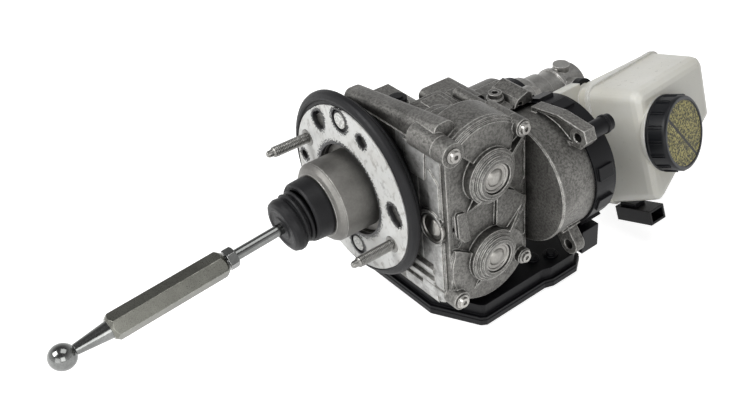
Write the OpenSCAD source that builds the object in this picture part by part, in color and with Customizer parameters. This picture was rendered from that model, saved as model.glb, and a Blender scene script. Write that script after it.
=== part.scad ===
// Electromechanical brake booster with master cylinder and fluid reservoir.
// The origin is the centre of the bulkhead flange's front face, on the push rod axis.
// -Y points to the pedal, +Y to the master cylinder, +X to the gear cover, +Z up.

/* [Bulkhead flange] */
// Distance from the pitch circle of the studs to the edge of the white flange plate
plate_edge = 10.6; // [9:0.2:16]
// Thickness of the flange plate
plate_t = 3; // [2:0.25:4]
// Radius of the hole in the plate that the collar passes
plate_hole_r = 35; // [33:0.5:38]
// Pitch circle of the two mounting studs
stud_pcd = 104; // [98:0.5:108]
// Angle of the line through the studs below the level
stud_angle = 25.8; // [20:0.1:32]
// Thread diameter of a mounting stud
stud_d = 8; // [6:1:10]
// Length of a stud in front of the plate
stud_len = 34; // [26:1:42]
// Distance that the rubber gasket reaches past the plate
gasket_w = 8; // [7:0.2:10]

/* [Collar and boot] */
// Outer radius of the drawn steel collar
collar_r = 29.5; // [27:0.5:31]
// Distance of the collar's front face in front of the flange
collar_len = 27; // [22:0.5:32]
// Wall of the collar
collar_wall = 2; // [1.5:0.25:2.5]
// Radius of the rear section of the boot
boot_r = 22; // [20:0.5:23]
// Length of the boot in front of the collar
boot_len = 30; // [26:0.5:34]

/* [Push rod] */
// Diameter of the polished push rod
rod_d = 8; // [6:0.5:10]
// Distance of the rod's inner pivot in front of the flange
pivot_y = 8; // [6:0.5:12]
// Droop of the rod at rest
rod_droop = 5.4; // [3:0.1:5.6]
// Distance from the inner pivot to the centre of the ball
ball_reach = 206.7; // [195:0.5:230]
// Diameter of the pedal ball
ball_d = 17.5; // [14:0.5:20]
// Width across flats of the hex sleeve
sleeve_af = 16.6; // [13:0.2:19]
// Length of the hex sleeve
sleeve_len = 82; // [60:1:90]
// Distance from the inner pivot to the jam nut
nut_at = 86; // [82:0.5:90]
// Thickness of the jam nut
nut_t = 6.5; // [5:0.5:8]

/* [Gear train] */
// Stroke of the pedal rod
stroke = 32; // [20:1:32]
// Tooth module of rack and pinions
rack_module = 2; // [1.8:0.1:2.2]
// Number of teeth on a pinion
pinion_teeth = 12; // [11:1:13]
// Distance of each cross shaft above and below the rod axis
shaft_z = 33.6; // [33.6:0.1:36]
// Distance of the cross shafts behind the flange
shaft_y = 52.5; // [51:0.5:54]
// Diameter of a cross shaft
shaft_d = 12; // [10:0.5:13]
// Distance of the motor axis to the right of the rod axis
motor_x = 75.4; // [74:0.2:76]
// Outer radius of the worm
worm_r = 6.5; // [6:0.1:7]
// Number of teeth on a worm wheel
wheel_teeth = 42; // [30:1:48]
// Number of threads that start side by side on the worm
worm_starts = 3; // [2:1:4]
// Length of the threaded part of the worm
worm_len = 32; // [26:1:36]
// Width of a worm wheel
wheel_w = 12; // [9:0.5:13]

/* [Housing] */
// Front face of the gearbox behind the flange
box_y = 16; // [14:0.5:18]
// Joint face of gearbox and cover
cover_x = 85.6; // [85.5:0.1:87]
// Outer face of the cover's bearing bosses
boss_x = 100; // [99:0.5:102]
// Rear end of the gearbox at the motor
box_end = 92.4; // [91:0.1:92.4]
// Outer radius of the round casting along the rod axis
tube_r = 36.5; // [36:0.25:38]
// Left end of the cross shaft tubes
left_x = -34; // [-38:0.5:-32]
// Radius of a sealing plug over a bearing
plug_r = 11.6; // [11:0.1:11.8]

/* [Motor] */
// Outer radius of the motor housing
motor_r = 46.8; // [46:0.2:48]
// Start of the motor housing
motor_y = 92.7; // [91:0.1:94]
// Joint between motor housing and black end ring
ring_y = 125; // [123:0.5:128]
// End of the black end ring
ring_end = 145; // [144.5:0.5:149]
// Outer radius of the black end ring
ring_r = 48.6; // [48.2:0.1:50]

/* [Master cylinder] */
// Bore of the master cylinder
mc_bore = 22.2; // [20:0.2:24]
// Outer radius of the cylinder at its end
mc_r = 17.5; // [16:0.25:19]
// Rear face of the gearbox, where the cylinder is bolted on
mc_face = 148; // [146:0.5:152]
// End of the master cylinder
mc_end = 228; // [226:0.5:240]

/* [Reservoir] */
// Clocking of the reservoir about the rod axis
res_turn = 19.5; // [15:0.5:22]
// Tilt of the filler cap towards the cylinder's end
res_tilt = 7; // [4:0.5:9]
// Wall of the reservoir
res_wall = 2.5; // [2:0.25:3]
// Corner radius of the reservoir
res_round = 9; // [7:0.5:10]
// Tilt of the filler cap
cap_tilt = 11; // [8:0.1:12]
// Radius of the filler cap
cap_r = 29.6; // [27:0.2:31]
// Height of the filler cap above its seat
cap_h = 18.4; // [18:0.2:22]

/* [Control unit] */
// Lowest face of the control unit, on which the booster lies
ecu_z = -92; // [-96:0.5:-91]
// Height of the control unit
ecu_h = 18; // [17:0.5:20]
// Wall of the control unit's case
ecu_wall = 2.5; // [2:0.25:3]

/* [Hidden] */
$fn = 64;
// Clearance between pieces that only lie near each other
gap = 0.3;
// Radial running clearance of shafts and pistons
run = 0.05;

cast = [0.62, 0.62, 0.61];
steel = [0.72, 0.72, 0.73];
zinc = [0.68, 0.66, 0.58];
black = [0.08, 0.08, 0.09];

pitch_r = rack_module * pinion_teeth / 2;
rack_pitch_z = shaft_z - pitch_r;
press_angle = 25;
base_r = pitch_r * cos(press_angle);
tip_r = pitch_r + rack_module;
root_r = pitch_r - 1.2 * rack_module;
tooth_play = 0.1;
rack_tip = 0.9 * rack_module;
rack_root = 1.25 * rack_module;
rack_half_w = 8;
// Distance of the cylinder's fixing studs from the rod axis, in X and in Z
ear = 23.6;
wheel_r = shaft_z - worm_r - gap;
chamber_r = wheel_r + 2.2;
// Travel of a worm thread in one turn: as many tooth pitches as there are threads
worm_lead = worm_starts * 2 * PI * wheel_r / wheel_teeth;
worm_depth = 1.6;
bearing_r = 11;
bearing_w = 8;
shaft_end = boss_x - 6.5;
plate_r = stud_pcd / 2 + plate_edge;
pad_r = plate_r - 5;
gasket_r = plate_r + gasket_w;
// The plate bulges to the upper right: a second circle is set over by this much
bulge = [4.3, 3.4];
lip_at = [4, 5];
stud_x = stud_pcd / 2 * cos(stud_angle);
stud_z = stud_pcd / 2 * sin(stud_angle);
bore_r = mc_bore / 2;
carrier_end = 70;
nose_end = 104;
piston_len = 46;
second_y = nose_end + piston_len + 24;
second_len = 22;
bore_end = mc_end - 6;
sleeve_at = nut_at + nut_t + 1.5;
cover_w = 4;

// Points of one involute pinion tooth flank
function inv(a) = tan(a) * 180 / PI - a;
function flank(r) = acos(min(1, base_r / r));
function half_angle(r) = 90 / pinion_teeth - tooth_play / 2 / pitch_r * 180 / PI
  + inv(press_angle) - inv(flank(r));
function polar(r, a) = [r * cos(a), r * sin(a)];
flank_r = [for (i = [0:4]) base_r + (tip_r - base_r) * i / 4];
function tooth(a) = concat(
  [polar(root_r, a - half_angle(base_r))],
  [for (r = flank_r) polar(r, a - half_angle(r))],
  [for (i = [4:-1:0]) polar(flank_r[i], a + half_angle(flank_r[i]))],
  [polar(root_r, a + half_angle(base_r))]);
// Ring of points of a swept round section along a coil
function coil_ring(r, pitch, wire, t) = [for (k = [0:7])
  let (c = r + wire * cos(k * 45))
  [c * cos(t), c * sin(t), pitch * t / 360 + wire * sin(k * 45)]];

// A frame along +Y: local Z becomes Y
module along_y(x = 0, y = 0, z = 0) {
  translate([x, y, z]) rotate([-90, 0, 0]) children();
}
// A frame along +X: local Z becomes X, local X becomes -Z
module along_x(x = 0, y = 0, z = 0) {
  translate([x, y, z]) rotate([0, 90, 0]) children();
}
// A flat outline drawn in Y and Z, extruded along +X from x0 to x1
module slab_x(x0, x1) {
  translate([x0, 0, 0]) rotate([90, 0, 90]) linear_extrude(x1 - x0) children();
}
// A flat outline drawn in X and Z, extruded along +Y from y0 to y1
module slab_y(y0, y1) {
  translate([0, y1, 0]) rotate([90, 0, 0]) linear_extrude(y1 - y0) children();
}
module slab_z(z0, z1) {
  translate([0, 0, z0]) linear_extrude(z1 - z0) children();
}
// Rectangle with true round corners
module round_rect(x0, y0, x1, y1, r) {
  translate([x0 + r, y0]) square([x1 - x0 - 2 * r, y1 - y0]);
  translate([x0, y0 + r]) square([x1 - x0, y1 - y0 - 2 * r]);
  for (x = [x0 + r, x1 - r], y = [y0 + r, y1 - r]) translate([x, y]) circle(r);
}
module coil(r, len, turns, wire) {
  steps = turns * 14;
  pitch = (len - 2 * wire) / turns;
  pts = [for (i = [0:steps]) each coil_ring(r, pitch, wire, i * 360 * turns / steps)];
  last = steps * 8;
  translate([0, 0, wire]) polyhedron(pts, concat(
    [[7, 6, 5, 4, 3, 2, 1, 0]],
    [for (i = [0:steps - 1], k = [0:7])
      [i * 8 + k, i * 8 + (k + 1) % 8, i * 8 + 8 + (k + 1) % 8, i * 8 + 8 + k]],
    [[for (k = [0:7]) last + k]]), convexity = 8);
}
module hex(af, len) {
  cylinder(r = af / 2 / cos(30), h = len, $fn = 6);
}
// The push rod's frame: the pivot is the origin and local Z runs towards the ball
module rod_frame() {
  translate([0, -pivot_y, 0]) rotate([90 + rod_droop, 0, 0]) children();
}
// The reservoir's frame: local X points out of the master cylinder towards the cap
module res_frame() {
  rotate([0, -res_turn, 0]) children();
}

// Bulkhead side
plug_at = [[-1.3, 56.3, 0], [2.8, -46.5, 0]];
plug_hole_r = 8.2;
plug_disc_r = 6;

module plate_outline(r) {
  circle(r, $fn = 128);
  translate(bulge) circle(r, $fn = 128);
}
module flange_plate() {
  color([0.9, 0.9, 0.88]) slab_y(0, plate_t) difference() {
    plate_outline(plate_r);
    circle(plate_hole_r, $fn = 96);
    for (s = [-1, 1]) translate([s * stud_x, -s * stud_z]) circle(stud_d / 2 + 0.6);
    for (p = plug_at) translate([p[0], p[1]]) circle(plug_hole_r);
    translate([-28.7, 45.2]) circle(6.6);
    translate([-26.4, 49]) circle(4.6);
    translate([22.8, 50.5]) circle(4.4);
    translate([-54.5, 4.7]) circle(3.6);
    translate([51.9, 7.6]) circle(5.2);
    translate([54.6, 3.6]) circle(5);
    translate([57.6, -0.6]) circle(2.6);
  }
}
module bulkhead_gasket() {
  g = gasket_r;
  color(black) difference() {
    along_y(lip_at[0], 0, lip_at[1]) rotate_extrude($fn = 128)
      polygon([[pad_r - 8, 0.8], [g - 7, 0.8], [g - 6, -0.6], [g - 4.6, -0.9], [g - 2, 0],
        [g - 0.6, 1.4], [g, 3.2], [g, 4.6], [g - 1.4, 5], [g - 1.4, 5.8], [g - 2, 6.4],
        [g - 3.4, 7.6], [g - 5.2, 8.2], [g - 5, 9.4], [g - 5.6, 10.2], [g - 7.4, 10.8],
        [g - 7.8, 11.8], [g - 8.8, 12.6], [g - 12.8, box_y - gap], [pad_r - 8, box_y - gap]]);
    slab_y(-5, plate_t + gap) plate_outline(plate_r + gap);
    slab_y(0, box_y + 5) plate_outline(pad_r + gap);
  }
}
// Room that the tapering back of the gasket takes in front of the castings
module gasket_cone() {
  along_y(lip_at[0], 12.6, lip_at[1])
    cylinder(r1 = gasket_r - 8, r2 = gasket_r - 12, h = box_y - 12.5, $fn = 96);
}
module mounting_studs() {
  color(steel) for (s = [-1, 1]) along_y(s * stud_x, 0, s * -stud_z) {
    translate([0, 0, -stud_len + 6]) cylinder(d = stud_d, h = stud_len - 6);
    cylinder(r = stud_d / 2 + 0.4, h = box_y);
    translate([0, 0, -stud_len + 4.6])
      cylinder(r1 = stud_d / 2 - 1.3, r2 = stud_d / 2, h = 1.4);
    translate([0, 0, -stud_len + 1.4]) cylinder(r = stud_d / 2 - 1.3, h = 3.3);
    translate([0, 0, -stud_len]) cylinder(r1 = stud_d / 2 - 2.4, r2 = stud_d / 2 - 1.3, h = 1.4);
  }
}
module plate_plugs() {
  color([0.9, 0.9, 0.88]) for (p = plug_at) along_y(p[0], 0, p[1]) {
    translate([0, 0, 0.4]) cylinder(r = plug_disc_r, h = plate_t - 0.4);
    translate([0, 0, 1]) cylinder(r = plug_disc_r - 2.6, h = plate_t + 1 - run);
    translate([0, 0, -0.2]) cylinder(r1 = plug_disc_r - 0.8, r2 = plug_disc_r, h = 0.6);
  }
}
collar_seat = 8;
module guide_collar() {
  shoulder = 5;
  color(steel) along_y() rotate_extrude($fn = 96) difference() {
    union() {
      translate([0, -collar_len + shoulder])
        square([collar_r, collar_len - shoulder + collar_seat]);
      translate([0, -collar_len]) square([collar_r - shoulder - 1, shoulder + 1]);
      polygon([[0, -collar_len], [boot_r + 1, -collar_len],
        [collar_r - shoulder + 2, -collar_len + 1.6], [collar_r - 1.6, -collar_len + 3],
        [collar_r - 0.5, -collar_len + 4], [collar_r, -collar_len + 5.6], [0, -collar_len + 6]]);
      translate([0, collar_seat - 2]) square([plate_hole_r - 0.6, 2]);
    }
    translate([-1, -collar_len + collar_wall + 2.5])
      square([collar_r - collar_wall + 1, 60]);
    translate([-1, -collar_len - 1]) square([boot_r - 3 + 1, 20]);
  }
}

// Gearbox castings
screw_at = [[17.5, 66.9], [79.6, 60.2], [80.2, -49], [20.2, -55.9]];
boss_d = [8.6, 6.4, 6, 7];
dome_r = [42, 38.5];
// Height of the screw bosses and of the raised chambers above the joint face
screw_h = [12.4, 10.9, 10.9, 10.9];
dome_h = 6.4;
// Raised part of each chamber's end face, in Y and Z
module dome_area(i) {
  if (i == 0) polygon([[24, 63.5], [20, 100], [77, 100], [77, 64], [72.3, 46], [73, 14],
    [60, 24], [46, 41]]);
  else polygon([[15, -12], [24, -16.5], [46, -32], [60, -26], [74, -22], [82, -30], [88, -100],
    [15, -100]]);
}
function sz(i) = i == 0 ? 1 : -1;

// Outline of the gear chamber in Y and Z, shared by housing and cover
module chamber_outline() {
  intersection() {
    union() {
      translate([shaft_y - 3, shaft_z]) circle(dome_r[0], $fn = 96);
      translate([shaft_y, -shaft_z]) circle(dome_r[1], $fn = 96);
      round_rect(box_y + 1, -56, box_end - 0.4, 58, 5);
    }
    translate([box_y + 1, -80]) square([box_end - box_y - 1.4, 170]);
  }
  for (i = [0:3]) translate(screw_at[i]) circle(boss_d[i]);
}
module cover_screw_holes(x0, x1, r) {
  for (i = [0:3]) along_x(x0, screw_at[i][0], screw_at[i][1]) cylinder(r = r, h = x1 - x0);
}
// Space that the mechanism takes inside the castings
module gear_space() {
  // The carrier's slideway
  slab_y(collar_seat - 1, carrier_end + stroke + 1.5) union() {
    translate([-12, -rack_pitch_z - 5]) square([24, 2 * rack_pitch_z + 10]);
    circle(20);
  }
  along_y(0, nose_end - 3) cylinder(r = 16.6, h = mc_face - nose_end + 4);
  for (s = [-1, 1]) {
    // Pinion chamber, shaft tunnel, bearing seats and wheel chamber
    along_x(-12, shaft_y, s * shaft_z) cylinder(r = tip_r + 1.4, h = 24);
    along_x(left_x + 4, shaft_y, s * shaft_z) cylinder(r = shaft_d / 2 + 2, h = 110);
    along_x(left_x + 4, shaft_y, s * shaft_z) cylinder(r = bearing_r, h = bearing_w);
    along_x(motor_x - wheel_w / 2 - 2, shaft_y, s * shaft_z)
      cylinder(r = chamber_r, h = wheel_w + 6);
    along_x(motor_x + 1, shaft_y, s * shaft_z)
      cylinder(r = bearing_r + 1, h = cover_x - motor_x);
  }
  // Worm tunnel with its front bearing seat
  along_y(motor_x, box_y + 4, 0) cylinder(r = worm_r + 2.5, h = box_end - box_y);
}
// The front wall stands left of the wheel chamber and ends in front of the tube
wall_end = 32;
wall_x = motor_x - wheel_w / 2 - 8;
module top_beam() {
  translate([16, box_y + 1, 61]) rotate([0, -8, 0]) slab_x(-34, 66) round_rect(0, -10, 17, 10, 6);
}
module barrel(r, x0, x1) {
  along_x(x0, shaft_y, shaft_z) cylinder(r = r, h = x1 - x0, $fn = 96);
}
module low_parts() {
  for (x = [-34, 60], y = [30, 96]) translate([x, y, ecu_z + ecu_h]) cylinder(r = 7, h = 24);
  slab_z(-64, -58) round_rect(-42, 22, 68, 104, 8);
}
module collar_bore() {
  along_y(0, plate_t - 1) cylinder(r = plate_hole_r, h = collar_seat - plate_t + 1, $fn = 96);
}
module front_wall() {
  color(cast) difference() {
    slab_y(box_y, wall_end) difference() {
      round_rect(-52, -66, wall_x + 20, 62, 9);
      translate([wall_x, -100]) square([60, 200]);
      // The corner above the stud falls away behind the gasket
      polygon([[-60, 11], [-60, 70], [-17, 70], [-17, 50]]);
    }
    top_beam();
    barrel(26.4, 32, 90);
    low_parts();
    collar_bore();
    gear_space();
  }
}
// Round pad between the flange plate and the front wall
module front_pad() {
  color(cast) difference() {
    slab_y(plate_t, box_y) plate_outline(pad_r);
    collar_bore();
    gear_space();
    for (s = [-1, 1]) along_y(s * stud_x, plate_t - 1, s * -stud_z)
      cylinder(r = stud_d / 2 + 0.4, h = box_y);
    for (p = plug_at) along_y(p[0], plate_t - 1, p[1]) cylinder(r = plug_hole_r, h = 3);
  }
}
module gearbox_housing() {
  color(cast) difference() {
    union() {
      // Gear chamber block with its front face
      slab_x(wall_x, cover_x) chamber_outline();
      slab_y(box_y, box_y + 12) polygon([[wall_x, -66], [cover_x - 8, -66], [cover_x - 3, -63.5],
        [cover_x, -58], [cover_x, 54], [cover_x - 3, 59.5], [cover_x - 8, 62], [wall_x, 62]]);
      // Bell towards the motor, with its edge line
      slab_y(box_end - 12, box_end) round_rect(30, -49, cover_x - 0.6, 44, 8);
      slab_x(14, motor_x) round_rect(wall_end, -62, box_end, 46, 6);
      // Barrel round the upper cross shaft, with a band and a pad left plain
      barrel(26.4, 32, 72);
      difference() {
        barrel(27.4, 38, 56);
        translate([0, 0, -50]) cube([100, wall_end, 200]);
      }
      translate([0, 0, 53.2]) rotate([0, 3, 0]) slab_z(-12, 0) round_rect(8, 50, 34, 80, 3);
      translate([0, 0, 53.6]) rotate([0, 3, 0]) slab_z(-12, 0) round_rect(11, 60, 29, 76, 2);
      // Rounded bar and steps on the top
      along_x(20, 87, 52.6) cylinder(r = 4.6, h = 34);
      slab_x(12, 60) round_rect(82, 30, box_end, 52, 3);
      slab_x(-6, 30) round_rect(72, 26, 104, 50, 5);
      // Post with an upright hole, on its foot
      slab_z(26, 49) round_rect(37, 88, 58, 108, 4);
      translate([42.5, 103, 40]) cylinder(r = 5, h = 16);
      translate([42.5, 103, 40]) cylinder(r = 6.4, h = 12);
      // Rounded block behind the post, with a sharp crest
      slab_x(30, 57) polygon([[108, 26], [108, 46], [112, 52], [122, 55.5], [125, 53.5],
        [126.6, 47], [126.6, 20], [112, 20]]);
      slab_x(14, 31) round_rect(100, 20, 136, 44, 6);
      // Cross shaft tubes
      for (s = [-1, 1]) along_x(left_x, shaft_y, s * shaft_z) cylinder(r = 18.5, h = 100);
      // Round casting along the rod axis
      along_y(0, wall_end) cylinder(r = tube_r, h = 70, $fn = 96);
      along_y(0, 101.9) cylinder(r1 = tube_r, r2 = 31, h = 23, $fn = 96);
      along_y(0, 124.8) cylinder(r = 31, h = mc_face - 124.8, $fn = 96);
      for (s = [-1, 1]) along_y(s * ear, mc_face - 18, s * ear) cylinder(r = 9, h = 18);
      // Slanting beam on the top of the front wall, and the feet
      top_beam();
      low_parts();
      along_x(wall_x, screw_at[0][0], screw_at[0][1])
        cylinder(r = boss_d[0], h = cover_x - wall_x);
      // Ledges, machined strip and plug boss on the front face, beside the gasket
      difference() {
        union() {
          slab_x(48, 74) polygon([[box_y - 2.4, -38], [box_y, -35], [box_y, -44],
            [box_y - 2.4, -41]]);
          slab_x(44, 74) polygon([[box_y - 2, -48.5], [box_y, -46], [box_y, -55],
            [box_y - 2, -52]]);
          slab_x(30, 76) polygon([[box_y - 1.4, -58], [box_y, -56], [box_y, -68],
            [box_y - 1.4, -64]]);
          slab_y(box_y - 1.2, box_y + 1) polygon([[73.4, -56], [83.6, -56], [83.6, 38], [75, 46],
            [73.4, 46]]);
          intersection() {
            along_y(motor_x - 0.5, box_y - 2.6) cylinder(r = 13.7, h = 6);
            translate([0, 0, -50]) cube([cover_x, 40, 100]);
          }
          slab_y(box_y - 1.6, box_y) polygon([[50, 36], [70, 36], [72, 60], [50, 60]]);
        }
        gasket_cone();
      }
      // Boss of the vent plug
      translate([10, 42, 40]) cylinder(r = 8, h = 18.4);
    }
    gear_space();
    // Flat over the upper tube's left end
    translate([left_x - 1, 28, shaft_z + bearing_r + 2]) cube([28.5, 49, 10]);
    // Seat of the motor housing
    along_y(motor_x, box_end, 0) cylinder(r = ring_r + 1, h = 80, $fn = 96);
    // Seats of the bearing plug and the studs
    along_y(motor_x, box_y - 4, 0) cylinder(r = plug_r, h = 4.8);
    along_y(motor_x, box_y, 0) cylinder(r = bearing_r, h = bearing_w + 5);
    // Pocket between the chamber and the bell, and holes of post and block
    slab_x(79.5, cover_x + 1) round_rect(86.8, 9, 90.4, 42, 1.6);
    slab_x(81.5, cover_x + 1) round_rect(86.8, -40, 90.4, -9, 1.6);
    translate([42.5, 103, 44]) cylinder(r = 2.4, h = 20);
    along_x(50, 114, 47.4) cylinder(r = 2.4, h = 10);
    // Clear of the gear cover and its screws
    cover_screw_holes(cover_x - 14, cover_x + 1, 2.5);
    // Clear of the motor's upper lug
    slab_y(ring_y - 13, ring_y + 10) translate([58, 20]) square([60, 60]);
    // Pocket of the vent plug
    translate([10, 42, 50.5]) cylinder(r = 5, h = 20);
    // Clear of the master cylinder's studs
    for (s = [-1, 1]) along_y(s * ear, mc_face - 14, s * ear) cylinder(r = 3.05, h = 20);
  }
}
// A gusset: a flat fin from a boss out to radius r1, falling from x0 to x1
module gusset(i, angle, r0, r1, x0, x1) {
  translate([0, shaft_y, sz(i) * shaft_z]) rotate([angle, 0, 0]) translate([0, 0, -0.9])
    linear_extrude(1.8) polygon([[cover_x + 1, r0 - 4], [x0, r0 - 4], [x0, r0], [x1, r1],
      [cover_x + 1, r1]]);
}
module gear_cover() {
  base = cover_x + 3;
  top = cover_x + dome_h;
  color(cast) difference() {
    union() {
      slab_x(cover_x, base) intersection() {
        chamber_outline();
        translate([0, -100]) square([86.5, 200]);
      }
      // Raised chambers over the worm wheels, with a narrow step round them
      for (i = [0, 1]) intersection() {
        union() {
          along_x(cover_x, shaft_y - 3 * (1 - i), sz(i) * shaft_z)
            cylinder(r = dome_r[i] - 2.8, h = dome_h, $fn = 96);
          along_x(cover_x, shaft_y - 3 * (1 - i), sz(i) * shaft_z)
            cylinder(r = dome_r[i] - 1.4, h = dome_h - 1.8, $fn = 96);
          slab_x(cover_x, top) polygon([[20, -60], [20, 60], [30, 66], [60, 66], [60, -66],
            [30, -60]]);
        }
        slab_x(cover_x, top + 1) dome_area(i);
        slab_x(cover_x, top + 1) chamber_outline();
      }
      // Saddle between the bosses that rises to a point at the motor
      slab_x(cover_x, base + 3) polygon([[60, 20], [76, 9], [84, 1.5], [86.5, 0], [86.5, -6],
        [80, -13], [66, -19], [58, -12]]);
      // Stepped bearing bosses
      for (s = [-1, 1]) {
        along_x(cover_x, shaft_y, s * shaft_z) cylinder(r = 20.4, h = boss_x - cover_x - 4.5);
        along_x(cover_x, shaft_y, s * shaft_z) cylinder(r = 18.6, h = boss_x - cover_x - 3.2);
        along_x(cover_x, shaft_y, s * shaft_z) cylinder(r = 16.6, h = boss_x - cover_x - 1.4);
        along_x(cover_x, shaft_y, s * shaft_z) cylinder(r = 14.4, h = boss_x - cover_x);
      }
      // Gusset ribs from the bosses
      gusset(0, -44, 14.5, 33, boss_x - 2.2, top - 1);
      gusset(0, -125, 18.5, 31, boss_x - 3.4, base);
      gusset(0, 28, 16.5, 37, boss_x - 3.4, top);
      gusset(1, -60, 14.5, 36, boss_x - 1.6, top - 1);
      gusset(1, -125, 18.5, 29, boss_x - 4.6, top);
      gusset(1, 36, 16.5, 40, boss_x - 3, base + 3);
      gusset(1, 42, 16.5, 41, boss_x - 3, base + 3);
      // Rim along the front edge
      slab_x(cover_x, base + 0.9) polygon([[17, 62], [20.5, 62], [22, 52], [19.6, 30],
        [18.6, 0], [18.6, -24], [20.6, -44], [24, -56], [17, -56]]);
      // Screw bosses
      for (i = [0:3]) along_x(cover_x, screw_at[i][0], screw_at[i][1])
        cylinder(r = boss_d[i], h = screw_h[i]);
      // Machined pad near the front edge
      slab_x(cover_x, base + 2.6) polygon([[23.6, 12.6], [25, 13.8], [30.6, 12.4], [31.8, 10.8],
        [34.4, -11.6], [33, -13], [29, -11.8], [24.6, -6.4]]);
    }
    // Bearing seats and plug seats
    for (s = [-1, 1]) {
      along_x(cover_x - 1, shaft_y, s * shaft_z) cylinder(r = bearing_r, h = boss_x - cover_x - 3);
      along_x(boss_x - 4.2, shaft_y, s * shaft_z) cylinder(r = plug_r, h = 6);
    }
    // Clear of the worm's front bearing and its plug
    along_y(motor_x, box_y - 8, 0) cylinder(r = bearing_r + 0.9, h = 21);
    for (i = [0:3]) {
      along_x(cover_x - 1, screw_at[i][0], screw_at[i][1]) cylinder(r = 3, h = 20);
      along_x(cover_x + screw_h[i], screw_at[i][0], screw_at[i][1])
        cylinder(r = boss_d[i] + gap, h = 8);
    }
    // Groove beside the pad
    slab_x(cover_x + 1.6, base + 4) polygon([[20.6, 13], [22.8, 12], [24, -7], [29, -12.6],
      [26, -16], [21.4, -14]]);
  }
}
module cover_screws() {
  color(zinc) for (i = [0:3]) {
    along_x(cover_x - 12, screw_at[i][0], screw_at[i][1]) cylinder(r = 2.5, h = 12 + screw_h[i]);
    along_x(cover_x + screw_h[i], screw_at[i][0], screw_at[i][1]) difference() {
      union() {
        cylinder(r = 5.2, h = 1);
        cylinder(r1 = 4.4, r2 = 3.7, h = 3.2);
      }
      translate([0, 0, 1.6]) cylinder(r = 1.9, h = 3, $fn = 6);
    }
  }
}
// Domed steel plug: a pressed cup with a raised middle
module plug_cap() {
  rotate_extrude($fn = 64) polygon([[0, 0], [plug_r - 0.05, 0], [plug_r - 0.05, 2.6],
    [plug_r - 1.2, 3], [plug_r - 2.2, 2.4], [plug_r - 2.6, 1.6], [6.8, 1.4], [6, 2.2],
    [4.5, 3.1], [2.2, 3.6], [0, 3.7]]);
}
module bearing_plugs() {
  color(steel) {
    for (s = [-1, 1]) along_x(boss_x - 4.15, shaft_y, s * shaft_z) plug_cap();
    along_y(motor_x, box_y + 0.7, 0) mirror([0, 0, 1]) plug_cap();
  }
}
module bearing_ring(w) {
  difference() {
    cylinder(r = bearing_r - run, h = w);
    translate([0, 0, -1]) cylinder(r = shaft_d / 2 + run, h = w + 2);
  }
}
module shaft_bearings() {
  color(steel) {
    for (s = [-1, 1]) {
      along_x(left_x + 4, shaft_y, s * shaft_z) bearing_ring(bearing_w);
      along_x(boss_x - 4.2 - bearing_w - 0.2, shaft_y, s * shaft_z) bearing_ring(bearing_w);
    }
    along_y(motor_x, box_y + 4.5, 0) difference() {
      cylinder(r = bearing_r - run, h = bearing_w);
      translate([0, 0, -1]) cylinder(r = 5 + run, h = bearing_w + 2);
    }
    along_y(motor_x, ring_end - 12, 0) difference() {
      cylinder(r = bearing_r - run, h = 7);
      translate([0, 0, -1]) cylinder(r = 5 + run, h = 9);
    }
  }
}
module vent_plug() {
  color(black) translate([10, 42, 50.8]) {
    cylinder(r = 5 - run, h = 8);
    translate([0, 0, 7.65]) cylinder(r = 6.4, h = 4.5);
    translate([0, 0, 12.1]) cylinder(r = 4, h = 1.5);
  }
}

// Motor
lug_up = [37.4, 44.2];
lug_low = [31, -52];
// Outline of the upper lug, drawn in by d
module upper_lug(d) {
  x = motor_x + lug_up[0];
  z = lug_up[1];
  polygon([[x + 5.5 - d, z + 7.2 - d * 0.7], [x + 8.6 - d, z - 1 + d * 0.2],
    [x + 3.4 - d * 0.4, z - 7.8 + d * 1.2], [x - 12, z - 9 + d], [motor_x + 15, 36 + d],
    [motor_x - 8 + d * 2.2, 36 + d], [motor_x - 8 + d * 2.2, 50 - d * 0.6], [x - 20, z + 9.6 - d]]);
}
module motor_housing() {
  color(cast) difference() {
    union() {
      along_y(motor_x, motor_y) cylinder(r = motor_r, h = ring_y - motor_y, $fn = 128);
      along_y(motor_x, box_end + gap) cylinder(r = motor_r - 4, h = 6, $fn = 96);
      // Upper lug: a web with two ridges that narrows to its hole
      slab_y(ring_y - 7, ring_y) upper_lug(0);
      slab_y(ring_y - 10, ring_y - 6.9) difference() {
        upper_lug(0);
        upper_lug(2.2);
      }
      along_y(motor_x + lug_up[0], ring_y - 10, lug_up[1]) cylinder(r = 7.2, h = 10);
      // Lower lug with two small ribs
      slab_y(ring_y - 9, ring_y) union() {
        translate([motor_x + lug_low[0], lug_low[1]]) circle(8);
        translate([motor_x + lug_low[0], lug_low[1]]) rotate(128) translate([0, -7.7])
          square([30, 15.4]);
      }
      for (a = [-33, -43]) translate([motor_x, 0, 0]) rotate([0, -a, 0])
        translate([motor_r - 6, motor_y + 12, -0.9]) cube([8, 12, 1.8]);
      // Ledge line round the front edge
      along_y(motor_x, motor_y + 1.2) cylinder(r = motor_r + 0.5, h = 1, $fn = 128);
    }
    along_y(motor_x, motor_y + 4) cylinder(r = motor_r - 4, h = 60, $fn = 96);
    along_y(motor_x, box_end - 1) cylinder(r = 6.6, h = 20);
    along_y(motor_x + lug_up[0], ring_y - 20, lug_up[1]) cylinder(r = 3.6, h = 30);
    along_y(motor_x + lug_low[0], ring_y - 20, lug_low[1]) cylinder(r = 4, h = 30);
  }
}
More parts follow.
